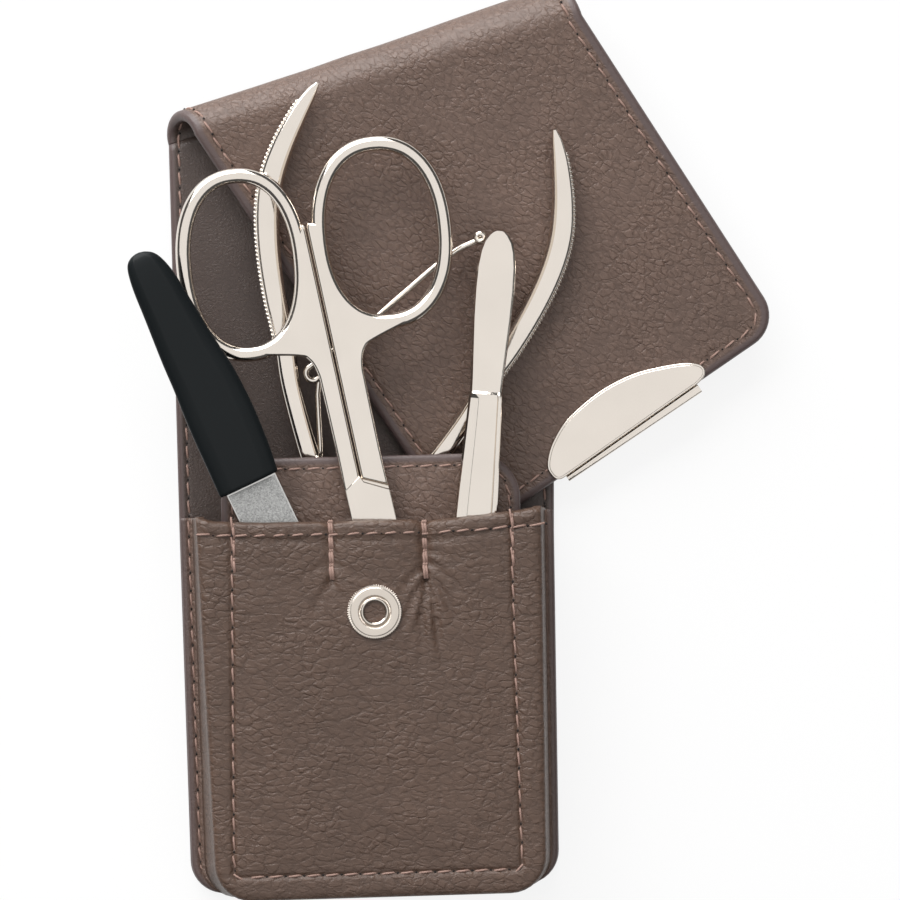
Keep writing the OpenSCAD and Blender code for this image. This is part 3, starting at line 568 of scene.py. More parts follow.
def wrinkle_depth(x, y):
    total = 0.0
    for line, depth in wrinkle_lines:
        best, share = 99.0, 0.0
        for px, py, s in line:
            near = (px - x) ** 2 + (py - y) ** 2
            if near < best:
                best, share = near, s
        if best < 9:
            d = math.sqrt(best) / (0.46 + 0.45 * share)
            total += depth * (1 - share) ** 0.8 * (math.exp(-d ** 2) - 0.28 * math.exp(-(d - 1.9) ** 2))
    return total


def hem_seam_y(x):
    """Where the seam of the mouth's hem lies: it dips with the mouth between the tools."""
    return mouth_seam_y + (mouth_y(x) - 16.0) * 0.55


def seam_groove(gap):
    """How deep the U-shaped seam sinks the leather at that distance from it."""
    return 0.32 * math.exp(-(gap / 0.45) ** 2)


def front_height(x, y):
    """Height of the front's outer face above the back of the case."""
    z = face_z + 0.22 * smoothstep(0, 9, min(x + 25.2, 24.6 - x, y - seam_low))
    hem = y - hem_seam_y(x)
    z += 0.14 * smoothstep(0, 0.9, hem) - 0.26 * math.exp(-(hem / 0.5) ** 2)
    for tx, top, low, force in tacks:
        reach = smoothstep(low - 7, low + 3, y)
        hollow, crease = math.exp(-((x - tx) / 3.4) ** 2), math.exp(-((x - tx) / 0.85) ** 2)
        z -= force * reach * (0.55 * hollow + 0.75 * crease)
    z += 0.12 * noise.noise(Vector((x / 11, y / 8, 0.7)))
    z += 0.05 * noise.noise(Vector((x / 4, y / 2.6, 3.7)))
    return z - 1.9 * wrinkle_depth(x, y)


wall_foot, wall_rise, wall_bulge, edge_width = 12.4, 7.4, 0.35, 0.9
front_rings = []
for share in (0, 0.2, 0.4, 0.6, 0.8, 1.0):
    bulge = wall_bulge * math.sin(math.pi * share)
    front_rings.append([Vector((*(w.lerp(r, share) - (w - s).normalized() * bulge),
                                wall_foot + wall_rise * share))
                        for w, r, s in zip(wall_u, ridge_u, seam_u)])
for q, drop in ((0.06, 0.77), (0.22, 0.4), (0.5, 0.14), (edge_width, 0.02)):
    front_rings.append([Vector((*(r + (s - r).normalized() * q), face_z - drop))
                        for r, s in zip(ridge_u, seam_u)])
for share in (0.3, 0.42, 0.54, 0.66, 0.76, 0.84, 0.9, 0.95, 1.0):
    ring = []
    for r, s in zip(ridge_u, seam_u):
        p = (r + (s - r).normalized() * edge_width).lerp(s, (share - 0.2) / 0.8)
        rounding = 0.1 * math.sin(math.pi * share)
        ring.append(Vector((*p, front_height(*p) + rounding - seam_groove((s - p).length))))
    front_rings.append(ring)
points = [p for ring in front_rings for p in ring]
faces = grid_faces(len(front_rings), len(ridge_u))
# Inside the seam, rows run from its left to its right side, and the last is its bottom
side_nodes = side_count + corner_count // 2
seam_nodes = range(len(points) - len(ridge_u), len(points))
bottom = list(seam_nodes[side_nodes:-side_nodes])
low_left, low_right = points[bottom[0]], points[bottom[-1]]
face_rows = []
for i in range(side_nodes):
    left, right = points[seam_nodes[i]], points[seam_nodes[-1 - i]]
    row = [seam_nodes[i]]
    for low in [points[k] for k in bottom[1:-1]]:
        w = (low.x - low_left.x) / (low_right.x - low_left.x)
        sag = low.y - low_left.y - (low_right.y - low_left.y) * w
        x, y, z = left.lerp(right, w) + Vector((0, sag * (i / side_nodes) ** 8, 0))
        gap = min(abs(x - left.x), abs(x - right.x), abs(y - seam_low))
        row.append(len(points))
        points.append(Vector((x, y, front_height(x, y) - seam_groove(gap))))
    face_rows.append(row + [seam_nodes[-1 - i]])
face_rows.append(bottom)
for row, below in zip(face_rows, face_rows[1:]):
    faces += list(zip(row, below, below[1:], row[1:]))
# The mouth follows its own line, and its edge is turned over
mouth_level, roll_radius = 17.0, 0.8
for p in points:
    top = mouth_y(p.x)
    p.y += (top - mouth_level) * smoothstep(-20, mouth_level, p.y) ** 3
    near = max(0.0, top - p.y)
    if near < roll_radius and p.z > 19:
        t = 1 - near / roll_radius
        p.z -= roll_radius * (1 - math.sqrt(max(0.0, 1 - t * t)))
front_tray = make_piece("front_tray", points, faces, [soft_pebbled], rims=[0.0] * len(points))
thicken(front_tray, 1.5)
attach(front_tray, "case")
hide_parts("front_panel", "front_lining")

# Seams. Lock-stitched in a pinkish brown thread; every stitch lies a little across its seam and
# dips into the needle holes at both ends.
def fibre_material(name, colour, roughness, grain, depth, variation=0.12):
    """A fibrous or fine-grained surface with a little unevenness in tone."""
    material, tree = start_material(name)
    place = add_node(tree, "ShaderNodeTexCoord").outputs["Object"]
    spots = speckle(tree, place, grain, 3.0)
    darker, lighter = ((*(c * (1 + v) for c in colour), 1) for v in (-variation, variation))
    bump = add_node(tree, "ShaderNodeBump", Strength=0.6, Distance=depth * MM, Height=spots)
    surface(tree, mixed_colour(tree, spots, darker, lighter), roughness, bump.outputs[0])
    return material


thread_material = fibre_material("sewing_thread", (0.30, 0.19, 0.155), 0.62, 0.09, 0.05)
# The needle holes are near-black balls: painted shade in the holes.
hole_shade_material = fibre_material("needle_hole_shade", (0.012, 0.008, 0.007), 0.9, 0.2, 0.01)


def stitch_tree():
    """Stitches along the edges of a mesh line. Its points carry the leather's normal as up."""
    tree = bpy.data.node_groups.new("stitch_row", "GeometryNodeTree")
    for name, kind in (("Line", "Geometry"), ("Pitch", "Float"), ("Stitch Length", "Float"),
                       ("Thread Radius", "Float"), ("Slant", "Float"), ("Thread", "Material"),
                       ("Hole", "Material")):
        tree.interface.new_socket(name=name, in_out="INPUT", socket_type="NodeSocket" + kind)
    tree.interface.new_socket(name="Stitches", in_out="OUTPUT", socket_type="NodeSocketGeometry")
    given = add_node(tree, "NodeGroupInput").outputs
    pitch, radius = given["Pitch"], given["Thread Radius"]

    def times(value, factor):
        return add_node(tree, "ShaderNodeMath", value, factor, operation="MULTIPLY").outputs[0]

    def vector(**axes):
        return add_node(tree, "ShaderNodeCombineXYZ", **axes).outputs[0]

    line = add_node(tree, "GeometryNodeMeshToCurve", given["Line"]).outputs[0]
    rows = add_node(tree, "GeometryNodeResampleCurve", mode="LENGTH", Curve=line, Length=pitch)
    tangent = add_node(tree, "GeometryNodeInputTangent").outputs[0]
    up = add_node(tree, "GeometryNodeInputNamedAttribute", data_type="FLOAT_VECTOR", Name="up")
    along = add_node(tree, "FunctionNodeAlignRotationToVector", axis="X", Vector=tangent)
    stand = add_node(tree, "FunctionNodeAlignRotationToVector", axis="Z", pivot_axis="X",
                     Rotation=along.outputs[0], Vector=up.outputs["Attribute"])
    # One stitch: a bowed thread, turned across the seam by the slant, and a small near-black ball at its
    # needle hole, painted shade in the hole
    ends = {name: vector(X=times(given["Stitch Length"], x), Z=times(radius, z))
            for name, x, z in (("Start", -0.5, -1.3), ("Middle", 0.0, 2.6), ("End", 0.5, -1.3))}
    bow = add_node(tree, "GeometryNodeCurveQuadraticBezier", Resolution=6, **ends)
    section = add_node(tree, "GeometryNodeCurvePrimitiveCircle", Resolution=7, Radius=radius)
    wire = add_node(tree, "GeometryNodeCurveToMesh", **{
        "Curve": bow.outputs[0], "Profile Curve": section.outputs[0], "Fill Caps": True})
    thread = add_node(tree, "GeometryNodeTransform", Geometry=wire.outputs[0],
                      Rotation=vector(Z=given["Slant"]))
    thread = add_node(tree, "GeometryNodeSetMaterial", Geometry=thread.outputs[0],
                      Material=given["Thread"])
    ball = add_node(tree, "GeometryNodeMeshUVSphere", Segments=8, Rings=4, Radius=radius)
    hole = add_node(tree, "GeometryNodeTransform", Geometry=ball.outputs["Mesh"],
                    Translation=vector(X=times(pitch, 0.5)), Scale=(1.25, 1.0, 0.55))
    hole = add_node(tree, "GeometryNodeSetMaterial", Geometry=hole.outputs[0], Material=given["Hole"])
    pair = add_node(tree, "GeometryNodeJoinGeometry", thread.outputs[0])
    tree.links.new(hole.outputs[0], pair.inputs[0])
    placed = add_node(tree, "GeometryNodeInstanceOnPoints", Points=rows.outputs[0],
                      Instance=pair.outputs[0], Rotation=stand.outputs[0])
    real = add_node(tree, "GeometryNodeRealizeInstances", placed.outputs[0])
    add_node(tree, "NodeGroupOutput", real.outputs[0])
    return tree


stitch_rows = stitch_tree()


def sew(name, lines, pitch=3.25, length=2.55, radius=0.21, slant=0.1, look=None):
    """A piece made of the stitches along lines of (point, normal) pairs, in millimetres."""
    mesh = bpy.data.meshes.new(name)
    points = [Vector(p) * MM for line in lines for p, up in line]
    edges, start = [], 0
    for line in lines:
        edges += [(start + i, start + i + 1) for i in range(len(line) - 1)]
        start += len(line)
    mesh.from_pydata(points, edges, [])
    ups = [c for line in lines for p, up in line for c in up]
    mesh.attributes.new("up", "FLOAT_VECTOR", "POINT").data.foreach_set("vector", ups)
    piece = bpy.data.objects.new(name, mesh)
    scene.collection.objects.link(piece)
    maker = piece.modifiers.new("stitches", "NODES")
    maker.node_group = stitch_rows
    values = {"Pitch": pitch * MM, "Stitch Length": length * MM, "Thread Radius": radius * MM,
              "Slant": slant, "Thread": look or thread_material, "Hole": look or hole_shade_material}
    for item in stitch_rows.interface.items_tree:
        if item.in_out == "INPUT" and item.name in values:
            maker[item.identifier] = values[item.name]
    bake_modifiers(piece)
    piece.data.polygons.foreach_set("use_smooth", [True] * len(piece.data.polygons))
    return piece


def sheet_surface(point, normal, outward):
    """The point of a sheet's face over its middle, at the bottom of the seam's groove."""
    return point + normal * outward * 0.85 * SHEET / 2, normal * outward


def edge_line(rows, right, outward, sway_by=0.0):
    """The seam along one side of a sheet's rows, on its outer face (1) or its lining (-1)."""
    line = []
    for row in rows:
        entries = row[::-1] if right else row
        seam = entries[0][3]
        inside = next(i for i, e in enumerate(entries) if e[2] >= seam - 1e-6)
        a, b = entries[inside - 1], entries[inside]
        t = (seam - a[2]) / max(b[2] - a[2], 1e-6)
        p = a[0].lerp(b[0], t)
        lift = sway(p, sway_by) * smoothstep(0, 12, seam)
        line.append(sheet_surface(p + b[1] * lift, b[1], outward))
    return line


free_rows = [row for row in back_rows if row[0][0].y > soft_to]
case_rows = [row for row in back_rows[9:] if row[0][0].y < soft_from - 0.3]
back_seams = sew("back_seams_inside", [edge_line(free_rows, right, -1) for right in (False, True)])
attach(back_seams, "flap")
bottom_line = [sheet_surface(Vector((x, pouch_bottom + back_seam, SHEET / 2)), down, 1)
               for x in (-29, -10, 10, 28)]
under_seams = sew("back_seams_outside",
                  [edge_line(case_rows, False, 1), edge_line(case_rows, True, 1), bottom_line])
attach(under_seams, "case")
upper_seams = sew("upper_seams_outside", [edge_line(free_rows, right, 1) for right in (False, True)])
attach(upper_seams, "flap")


def flap_rim_line(outward):
    """The seam round the flap, from the fold down, along its end and back up to the fold."""
    left_line, right_line = (edge_line(flap_rows[:-len(end_rows)], right, outward, flap_sway)
                             for right in (False, True))
    low = []
    for centre_x, start in ((flap_left + flap_corner, 180), (flap_right - flap_corner, 270)):
        for a in range(start, start + 91, 10):
            x, y = on_circle(flap_corner - flap_seam, a, centre_x, flap_corner)
            p = flap_frame @ Vector((x, y + flap_low(x), 0))
            lift = sway(p, flap_sway) * smoothstep(0, 12, flap_seam)
            low.append(sheet_surface(p + flap_up * lift, flap_up, outward))
    return left_line + low + right_line[::-1]


flap_seams = sew("flap_seams", [flap_rim_line(1), flap_rim_line(-1)])
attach(flap_seams, "flap")

foot_line = [(Vector((*(b + (g - b).normalized() * back_seam), 2.78)), up)
             for b, g in list(zip(back_u, gusset_u))[::3] if b.y <= 16]
gusset_seam = sew("gusset_seam", [foot_line])
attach(gusset_seam, "case")

tab_places = [(tab_left + hem_seam, 12 + i) for i in range(9)]
for centre_x, start in ((tab_left + tab_corner, 180), (tab_right - tab_corner, 90)):
    tab_places += [on_circle(tab_corner - hem_seam, a, centre_x, tab_top - tab_corner)
                   for a in range(start, start - 91, -10)]
tab_places += [(tab_right - hem_seam, 20 - i) for i in range(9)]
tab_seam = sew("tab_seam", [[(Vector((x, y, inner_z + 0.5)), up) for x, y in tab_places]])
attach(tab_seam, "case")


def on_front(x, y, sink=0.0):
    return Vector((x, y, front_height(x, y) - 0.3 - sink))


mouth_seam = [(Vector((x, hem_seam_y(x), front_height(x, hem_seam_y(x)) + 0.27)), up)
              for x in [-29.5 + 58.4 * i / 80 for i in range(81)]]
face_seam = [(on_front(s.x, s.y), up) for s in seam_u[::2] if s.y < 16.4]
front_seams = sew("front_seams", [mouth_seam, face_seam])
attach(front_seams, "case")
# Bar tacks: two rows of heavy stitches side by side below the mouth, and the locked ends of the
# U-shaped seam
heavy = []
for tx, top, low, force in tacks:
    for shift in (-0.18, 0.2):
        heavy.append([(on_front(tx + shift, low + 0.3 + (top - 1.6 - low) * i / 10, -0.3), up)
                      for i in range(11)])
lock_foot = 8.5
for sx in (-24.6, 24.3):
    lock = mouth_y(sx) - 1.8 - lock_foot
    heavy.append([(on_front(sx + 0.25, lock_foot + lock * i / 8, -0.1), up) for i in range(9)])
tack_seams = sew("tack_seams", heavy, pitch=2.5, length=2.35, radius=0.3, slant=0.08,
                 look=thread_material)
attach(tack_seams, "case")
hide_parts("divider_tacks")

# Scissors. Forged and nickel-plated, in two halves that lap at a screwed joint. Each half runs
# from an oval finger ring through a flat shank, rounded at its edges, to the lap and its blade.
def metal_material(name, colour, roughness, wander=0.05, stretch=(1, 1, 1)):
    """Plated or ground metal, with slightly uneven gloss and very fine polishing marks."""
    material, tree = start_material(name)
    place = add_node(tree, "ShaderNodeTexCoord").outputs["Object"]
    turned = add_node(tree, "ShaderNodeMapping", Vector=place, Scale=stretch).outputs[0]
    clouds = speckle(tree, turned, 7, 3.0)
    darker, lighter = ((*(c * share for c in colour), 1) for share in (0.95, 1.05))
    bump = add_node(tree, "ShaderNodeBump", Strength=0.5, Distance=0.012 * MM,
                    Height=speckle(tree, turned, 0.35, 2.0))
    surface(tree, mixed_colour(tree, clouds, darker, lighter),
            mapped(tree, clouds, 0.0, 1.0, roughness - wander, roughness + wander), bump.outputs[0],
            Metallic=1.0)
    return material


nickel = metal_material("polished_nickel", (0.79, 0.725, 0.655), 0.11, 0.035)


def tool_frame(place, angle, climb):
    return (Matrix.Translation(place) @ Matrix.Rotation(math.radians(angle), 4, "Z")
            @ Matrix.Rotation(math.radians(climb), 4, "X"))


def flat_form(outlines, thickness, bevel, z=0.0, segments=5):
    """Points and faces of a flat forging with rounded edges: an outline and its holes, at height z."""
    curve = bpy.data.curves.new("outline", "CURVE")
    curve.dimensions = "2D"
    curve.fill_mode = "BOTH"
    curve.bevel_depth = bevel * MM
    curve.bevel_resolution = segments
    curve.extrude = (thickness / 2 - bevel) * MM
    curve.offset = -bevel * MM
    for outline in outlines:
        spline = curve.splines.new("POLY")
        spline.points.add(len(outline) - 1)
        for point, p in zip(spline.points, outline):
            point.co = (p[0] * MM, p[1] * MM, 0, 1)
        spline.use_cyclic_u = True
    holder = bpy.data.objects.new("outline", curve)
    scene.collection.objects.link(holder)
    bpy.context.view_layer.update()
    mesh = bpy.data.meshes.new_from_object(holder.evaluated_get(bpy.context.evaluated_depsgraph_get()))
    bpy.data.objects.remove(holder)
    bpy.data.curves.remove(curve)
    points = [v.co / MM + Vector((0, 0, z)) for v in mesh.vertices]
    faces = [tuple(p.vertices) for p in mesh.polygons]
    bpy.data.meshes.remove(mesh)
    return points, faces


def turned_form(profile, centre=(0, 0), steps=48):
    """Points and faces of a turned part: profile is (radius, height) pairs, closed at the axis."""
    turns = [360 * i / steps for i in range(steps)]
    points = [Vector((*on_circle(r, turn, *centre), z)) for r, z in profile for turn in turns]
    return points, grid_faces(len(profile), steps, around=True)


def swept_form(path, half_width, half_height, power=2.0, closed=False):
    """Points and faces of a bar along a path. Its section is an ellipse, squarer at a higher power."""
    points, around, count = [], 20, len(path)
    for i, p in enumerate(path):
        after = path[(i + 1) % count] if closed else path[min(i + 1, count - 1)]
        before = path[i - 1] if closed else path[max(i - 1, 0)]
        across = (after - before).normalized().cross(Vector((0, 0, 1))).normalized()
        upward = (after - before).normalized().cross(across)
        for turn in (360 * (k + 0.5) / around for k in range(around)):
            x, y = (math.copysign(abs(c) ** (2 / power), c) for c in on_circle(1, turn))
            points.append(p + across * half_width * x + upward * half_height * y)
    return points, grid_faces(count, around, around=True, closed=closed, ends=not closed)


def metal_piece(name, forms, matrix, body, stands_for, material=nickel, crease=32):
    """One rigid piece from several closed forms, smooth except at edges sharper than crease."""
    points, faces = [], []
    for form_points, form_faces in forms:
        start = len(points)
        points += [matrix @ p for p in form_points]
        faces += [tuple(start + i for i in f) for f in form_faces]
    piece = make_piece(name, points, faces, [material])
    tidy_mesh(piece, 0.002)
    piece.data.set_sharp_from_angle(angle=math.radians(crease))
    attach(piece, body)
    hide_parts(*stands_for)


def smooth_path(knots, steps=6):
    """A Catmull-Rom line through knots of any length, so shapes and sizes glide between them."""
    knots = [Vector(k) for k in knots]
    ends = [2 * knots[0] - knots[1]] + knots + [2 * knots[-1] - knots[-2]]
    line = []
    for a, b, c, d in zip(ends, ends[1:], ends[2:], ends[3:]):
        for t in (k / steps for k in range(steps)):
            line.append(0.5 * ((2 * b) + (c - a) * t + (2 * a - 5 * b + 4 * c - d) * t * t
                               + (3 * b - a - 3 * c + d) * t ** 3))
    return line + [knots[-1]]


scissor_frame = tool_frame((0.2, 12.1, 15.9), 11, 2)
seam_x, ring_y, ring_h, ring_bar, ring_lean = 0.2, 53.0, 31.4, 2.7, math.radians(-6.5)
shank_foot, crotch_y = 11.4, 55.5


def ring_curve(side, width, grow, angles):
    """Part of a finger ring's outline, grow outside the middle of its bar."""
    centre = Vector((side * (width / 2 + ring_bar / 2 + 0.55) + seam_x,
                     ring_y - (0.4 if side < 0 else 0)))
    out = []
    for a in angles:
        c, s = (math.copysign(abs(v) ** (2 / 2.25), v) for v in on_circle(1, a))
        place = Vector(((width / 2 + grow) * c, (ring_h / 2 + grow) * s))
        out.append(centre + Matrix.Rotation(ring_lean, 2) @ place)
    return out


def scissor_half(side, width, shank_out, soft):
    """Ring, bar and shank of one half, with the hollow where the ring's foot meets the shank."""
    y = ring_y - ring_h / 2
    x_in = seam_x + side * 0.1
    angles = range(172, -72, -4) if side > 0 else range(16, 256, 4)
    ring = ring_curve(side, width, ring_bar / 2 - 0.65, angles)
    foot = smooth_path([ring[-1]] + [(side * (shank_out + out), up) for out, up in (
        (3.4, y - 2.3), (1.15, y - 3.5), (0.15, y - 6.2), (0, y - 10), (-0.1, 16), (0, 9.2))], 8)
    web = smooth_path([(x_in, crotch_y), (x_in + side * 0.05, 56.6), (x_in + side * 0.4, 57.4),
                       ring[0]], 4)
    inner = [(x_in, shank_foot + (crotch_y - shank_foot) * i / 12) for i in range(12)]
    hole = ring_curve(side, width, 0.65 - ring_bar / 2, range(0, 360, 4))
    bar = [Vector((*p, 0.05)) for p in ring_curve(side, width, 0, range(0, 360, 3))]
    return [swept_form(bar, ring_bar / 2, ring_bar / 2, 2.15, closed=True),
            flat_form([inner + web + ring[1:] + foot[1:], hole], 2.66, soft, 0.05)]


right_lap = [(seam_x + 0.1, 11.7), (4.8, 9.5), (5.0, -2), (3.2, -5), (0.7, -26), (-1.8, -13),
             (-2.9, -3), (-2.9, 8.4)]
left_lap = [(seam_x - 0.1, 12.0), (seam_x + 0.5, 10.8), (4.85, 8.6), (5.0, -3), (3.9, -13), (1.5, -26),
            (-1.4, -5), (-2.9, -2), (-2.95, 10.0)]
right_forms = scissor_half(1, 22.1, 4.8, 0.62) + [flat_form([right_lap], 1.4, 0.15, -0.8, 2)]
left_forms = scissor_half(-1, 20.6, 3.1, 0.6) + [flat_form([left_lap], 1.45, 0.28, 0.78, 3)]
metal_piece("scissor_right", right_forms, scissor_frame, "scissors", ["scissor_half_right"])
metal_piece("scissor_left", left_forms, scissor_frame, "scissors_left", ["scissor_half_left"])
screw_head = [(0, -1.5), (1.5, -1.5), (1.5, 1.5), (2.55, 1.52), (2.6, 1.65), (2.5, 1.85), (2.2, 1.98),
              (0, 2.02)]
metal_piece("scissor_screw_head", [turned_form(screw_head, (1.0, 0))], scissor_frame, "scissors",
            ["scissor_screw"])

# Cuticle nippers. Two forged halves with curved handles, rough-rolled for grip on their outer
# sides, that lap at a screwed boss. A wire spring is fixed to the left half, turns twice into a
# coil and ends in an eye; it has been swung out of its working place.
nipper_frame = tool_frame((-3.9, 10.0, 6.2), -12.3, 6)
# Places along a handle: sideways, upwards, half width, half thickness
handle_bar = smooth_path(((3.6, 5.6, 2.0, 2.1), (6.9, 10.8, 1.9, 2.0), (10.3, 16, 1.8, 1.9),
                          (15.9, 27.6, 1.8, 1.9), (18.6, 35.5, 1.9, 1.9), (21.6, 42.5, 2.0, 1.8),
                          (24.2, 50, 2.1, 1.8), (25.8, 57, 2.2, 1.8), (26.2, 63, 2.2, 1.7),
                          (25.4, 69, 2.0, 1.5), (23.8, 75, 1.6, 1.2), (22.3, 79.2, 1.0, 0.9),
                          (21.4, 81.2, 0.35, 0.45)), 8)


def bar_across(bar, i):
    """Direction across the bar at its place i, away from the other handle."""
    along = bar[min(i + 1, len(bar) - 1)] - bar[max(i - 1, 0)]
    return Vector((along[1], -along[0], 0)).normalized()


def ribbed_form(bar, s):
    """A forged handle: an almost flat face, with a groove beside its inner edge."""
    outer = [(0, 1.0), (0.4, 0.985), (0.66, 0.95), (0.82, 0.84), (0.93, 0.64), (1.0, 0.3)]
    inner = [(0, 1.0), (0.35, 0.98), (0.56, 0.93), (0.62, 0.78), (0.66, 0.74), (0.70, 0.78),
             (0.76, 0.86), (0.9, 0.66), (1.0, 0.3)]
    loop = [(x, z) for x, z in outer] + [(x, -z) for x, z in outer[::-1]]
    loop += [(-x, -z) for x, z in inner[1:]] + [(-x, z) for x, z in inner[:0:-1]]
    points = []
    for i, (x, y, w, h) in enumerate(bar):
        out = bar_across(bar, i) * w
        points += [Vector((s * (x + out.x * q), y + out.y * q, z * h)) for q, z in loop]
    return points, grid_faces(len(bar), len(loop), around=True, ends=True)


def nipper_forms(s):
    low, high = (-2.4, -0.05) if s > 0 else (0.05, 2.4)
    middle, boss_r, soft = (low + high) / 2, 5.2, 0.35
    boss = turned_form([(0, low), (boss_r - soft, low), (boss_r, low + soft), (boss_r, high - soft),
                        (boss_r - soft, high), (0, high)], steps=72)

    def mirrored(outline, turn=0.0):
        return [[Matrix.Rotation(turn, 2) @ Vector((s * x, y)) for x, y in outline]]

    neck = mirrored(((2.6, 3.6), (5.3, 3.4), (7.4, 7.4), (9.9, 12.2), (6.6, 13.6), (4.4, 9.2),
                     (2.3, 5.9)))
    arm = mirrored(((4.6, 6.0), (6.6, 5.0), (9.0, 9.6), (12.0, 15.6), (8.6, 16.8), (5.6, 11.6)))
    jaw = mirrored(((-0.05, -5.0), (-0.05, -14.8), (-0.5, -15), (-2.2, -13.4), (-4.5, -9), (-4.6, -5.0),
                    (-4.1, -3.0), (-3.2, -1.6), (-1.2, -1.0), (-0.5, -3.0)), -s * math.radians(9))
    return [ribbed_form(handle_bar, s), boss, flat_form(neck, 2.2, 0.5, middle, 4),
            flat_form(arm, 3.7, 1.2, 0, 4), flat_form(jaw, 2.2, 0.5, middle, 4)]


metal_piece("nipper_left", nipper_forms(-1), nipper_frame, "nippers", ["nipper_half_left"])
metal_piece("nipper_right", nipper_forms(1), nipper_frame, "nippers_right", ["nipper_half_right"])
rivet = [(0, -2.4), (1.6, -2.4), (1.6, 2.4), (2.9, 2.43), (3.0, 2.6), (2.8, 2.95), (2.3, 3.1),
         (0, 3.13)]
metal_piece("nipper_screw_head", [turned_form(rivet)], nipper_frame, "nippers", ["nipper_screw"])

wire_r, low_z, high_z = 0.55, -0.7, 0.7


def coil(z, start, stop, count=32):
    return [Vector((*on_circle(1.3, start + (stop - start) * i / count, -12.4, 30.6), z))
            for i in range(count + 1)]


foot = [(x, y, low_z) for x, y in ((-8.2, 13.6), (-8.3, 15.4), (-8.7, 18), (-9.8, 22.4), (-10.9, 27))]
foot = smooth_path(foot) + coil(low_z, -20, 300)
arm = coil(high_z, 440, 133)
arm += smooth_path([arm[-1]] + [(x, y, high_z) for x, y in ((-6.4, 38.8), (0.6, 47.6), (5.2, 53.4),
                                                           (8.6, 57.1), (11.6, 59.3))])[1:]
arm += [Vector((*on_circle(0.65, a, 12.1, 60.0), high_z + 0.3)) for a in range(-110, 245, 10)]
for name, line, body, stands_for in (("nipper_spring_foot", foot, "nippers", "nipper_spring_root"),
                                     ("nipper_spring_wire", arm, "nippers_spring",
                                      "nipper_spring_arm")):
    metal_piece(name, [swept_form(line, wire_r, wire_r)], nipper_frame, body, [stands_for], crease=60)

# Tweezers. Two spring-steel arms, welded to a thin spacer in the flat head. Below the bend the
# arms stand apart and are ground with a long facet; they are nickel-plated.
tweezer_frame = tool_frame((18.4, 16.4, 16.4), -6.2, 0.6)
# Places along an arm: upwards, half width, gap to the middle
tweezer_knots = ((50.3, 0.55, 0), (50.05, 1.15, 0), (49.5, 1.8, 0), (48.3, 2.55, 0), (46.6, 3.05, 0),
                 (44, 3.38, 0), (40, 3.48, 0.02), (35, 3.38, 0.12), (29, 3.08, 0.4), (24, 2.82, 0.66),
                 (22.1, 2.76, 0.73), (21.85, 2.76, 0.75), (21.4, 2.8, 0.97), (21.1, 2.82, 0.99),
                 (20.6, 2.86, 1.0), (16, 3.02, 1.1), (10, 3.25, 1.2), (4, 3.5, 1.24), (0, 3.6, 1.25),
                 (-5, 3.55, 1.25), (-12, 3.3, 1.24), (-20, 2.7, 1.17), (-28, 2.05, 1.1),
                 (-33, 1.7, 1.03), (-37, 1.5, 1.0))


def tweezer_arm(side, arm_t=1.2, spacer_t=0.6, facet_depth=0.62):
    points = []
    for y, h, gap in tweezer_knots:
        low = spacer_t / 2 + gap
        top = low + arm_t
        soft = min(0.45, h * 0.3)
        facet = smoothstep(21.9, 20.4, y)
        slope_x = -h + soft + facet * h * 0.42
        drop = facet_depth * facet
        profile = [(-h + 0.1, low), (-h, low + 0.15), (-h, top - drop - soft * 0.9),
                   (-h + soft * 0.4, top - drop), (slope_x - 0.08, top - 0.05 * facet), (slope_x, top),
                   (h * 0.68, top), (h * 0.72, top - 0.13 * facet), (h * 0.76, top - 0.02 * facet),
                   (h - soft, top - 0.02 * facet), (h - soft * 0.3, top - soft * 0.3),
                   (h, top - soft * 0.9), (h, low + 0.15), (h - 0.1, low)]
        points += [Vector((x, y, side * z)) for x, z in profile]
    return points, grid_faces(len(tweezer_knots), len(profile), around=True, ends=True)


spacer = [(-3.3, 42), (3.3, 42), (3.2, 45.3), (2.6, 47.9), (1.6, 49.3), (-1.6, 49.3), (-2.6, 47.9),
          (-3.2, 45.3)]
metal_piece("tweezer_front", [tweezer_arm(1), flat_form([spacer], 0.6, 0.02, 0, 1)], tweezer_frame,
            "tweezers", ["tweezer_front_arm", "tweezer_spacer"], crease=14)
metal_piece("tweezer_rear", [tweezer_arm(-1)], tweezer_frame, "tweezers_rear", ["tweezer_rear_arm"],
            crease=14)

# The rolled grip of the nippers: slanting ridges along the outer edge of both handles
for name, s, body in (("nipper_grip_left", -1, "nippers"), ("nipper_grip_right", 1, "nippers_right")):
    run = []
    for i in range(30, 84):
        x, y, w, h = handle_bar[i]
        out = bar_across(handle_bar, i)
        place = Vector((x, y, h * 0.5)) + out * (w * 0.97)
        up_out = (out + Vector((0, 0, 1))).normalized()
        run.append((nipper_frame @ Vector((s * place.x, place.y, place.z)),
                    nipper_frame.to_3x3() @ Vector((s * up_out.x, up_out.y, up_out.z))))
    ridges = sew(name, [run], pitch=0.75, length=0.95, radius=0.2, slant=0.9, look=nickel)
    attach(ridges, body)

# File. The handle is moulded in black plastic around the blade's tang, with a flat face between
# two sloping shoulders. The blade is steel, with a bonded abrasive on either side.
file_frame = tool_frame((-21.95, 22.58, 19.0), 24.1, 5)


def plastic_material(name, colour, roughness):
    """Moulded plastic with the fine, even texture of its mould."""
    material, tree = start_material(name)
    place = add_node(tree, "ShaderNodeTexCoord").outputs["Object"]
    bump = add_node(tree, "ShaderNodeBump", Strength=0.4, Distance=0.02 * MM,
                    Height=speckle(tree, place, 0.12, 2.0))
    surface(tree, (*colour, 1),
            mapped(tree, speckle(tree, place, 9, 2.0), 0.0, 1.0, roughness - 0.05, roughness + 0.05),
            bump.outputs[0], **{"Specular IOR Level": 0.16})
    return material


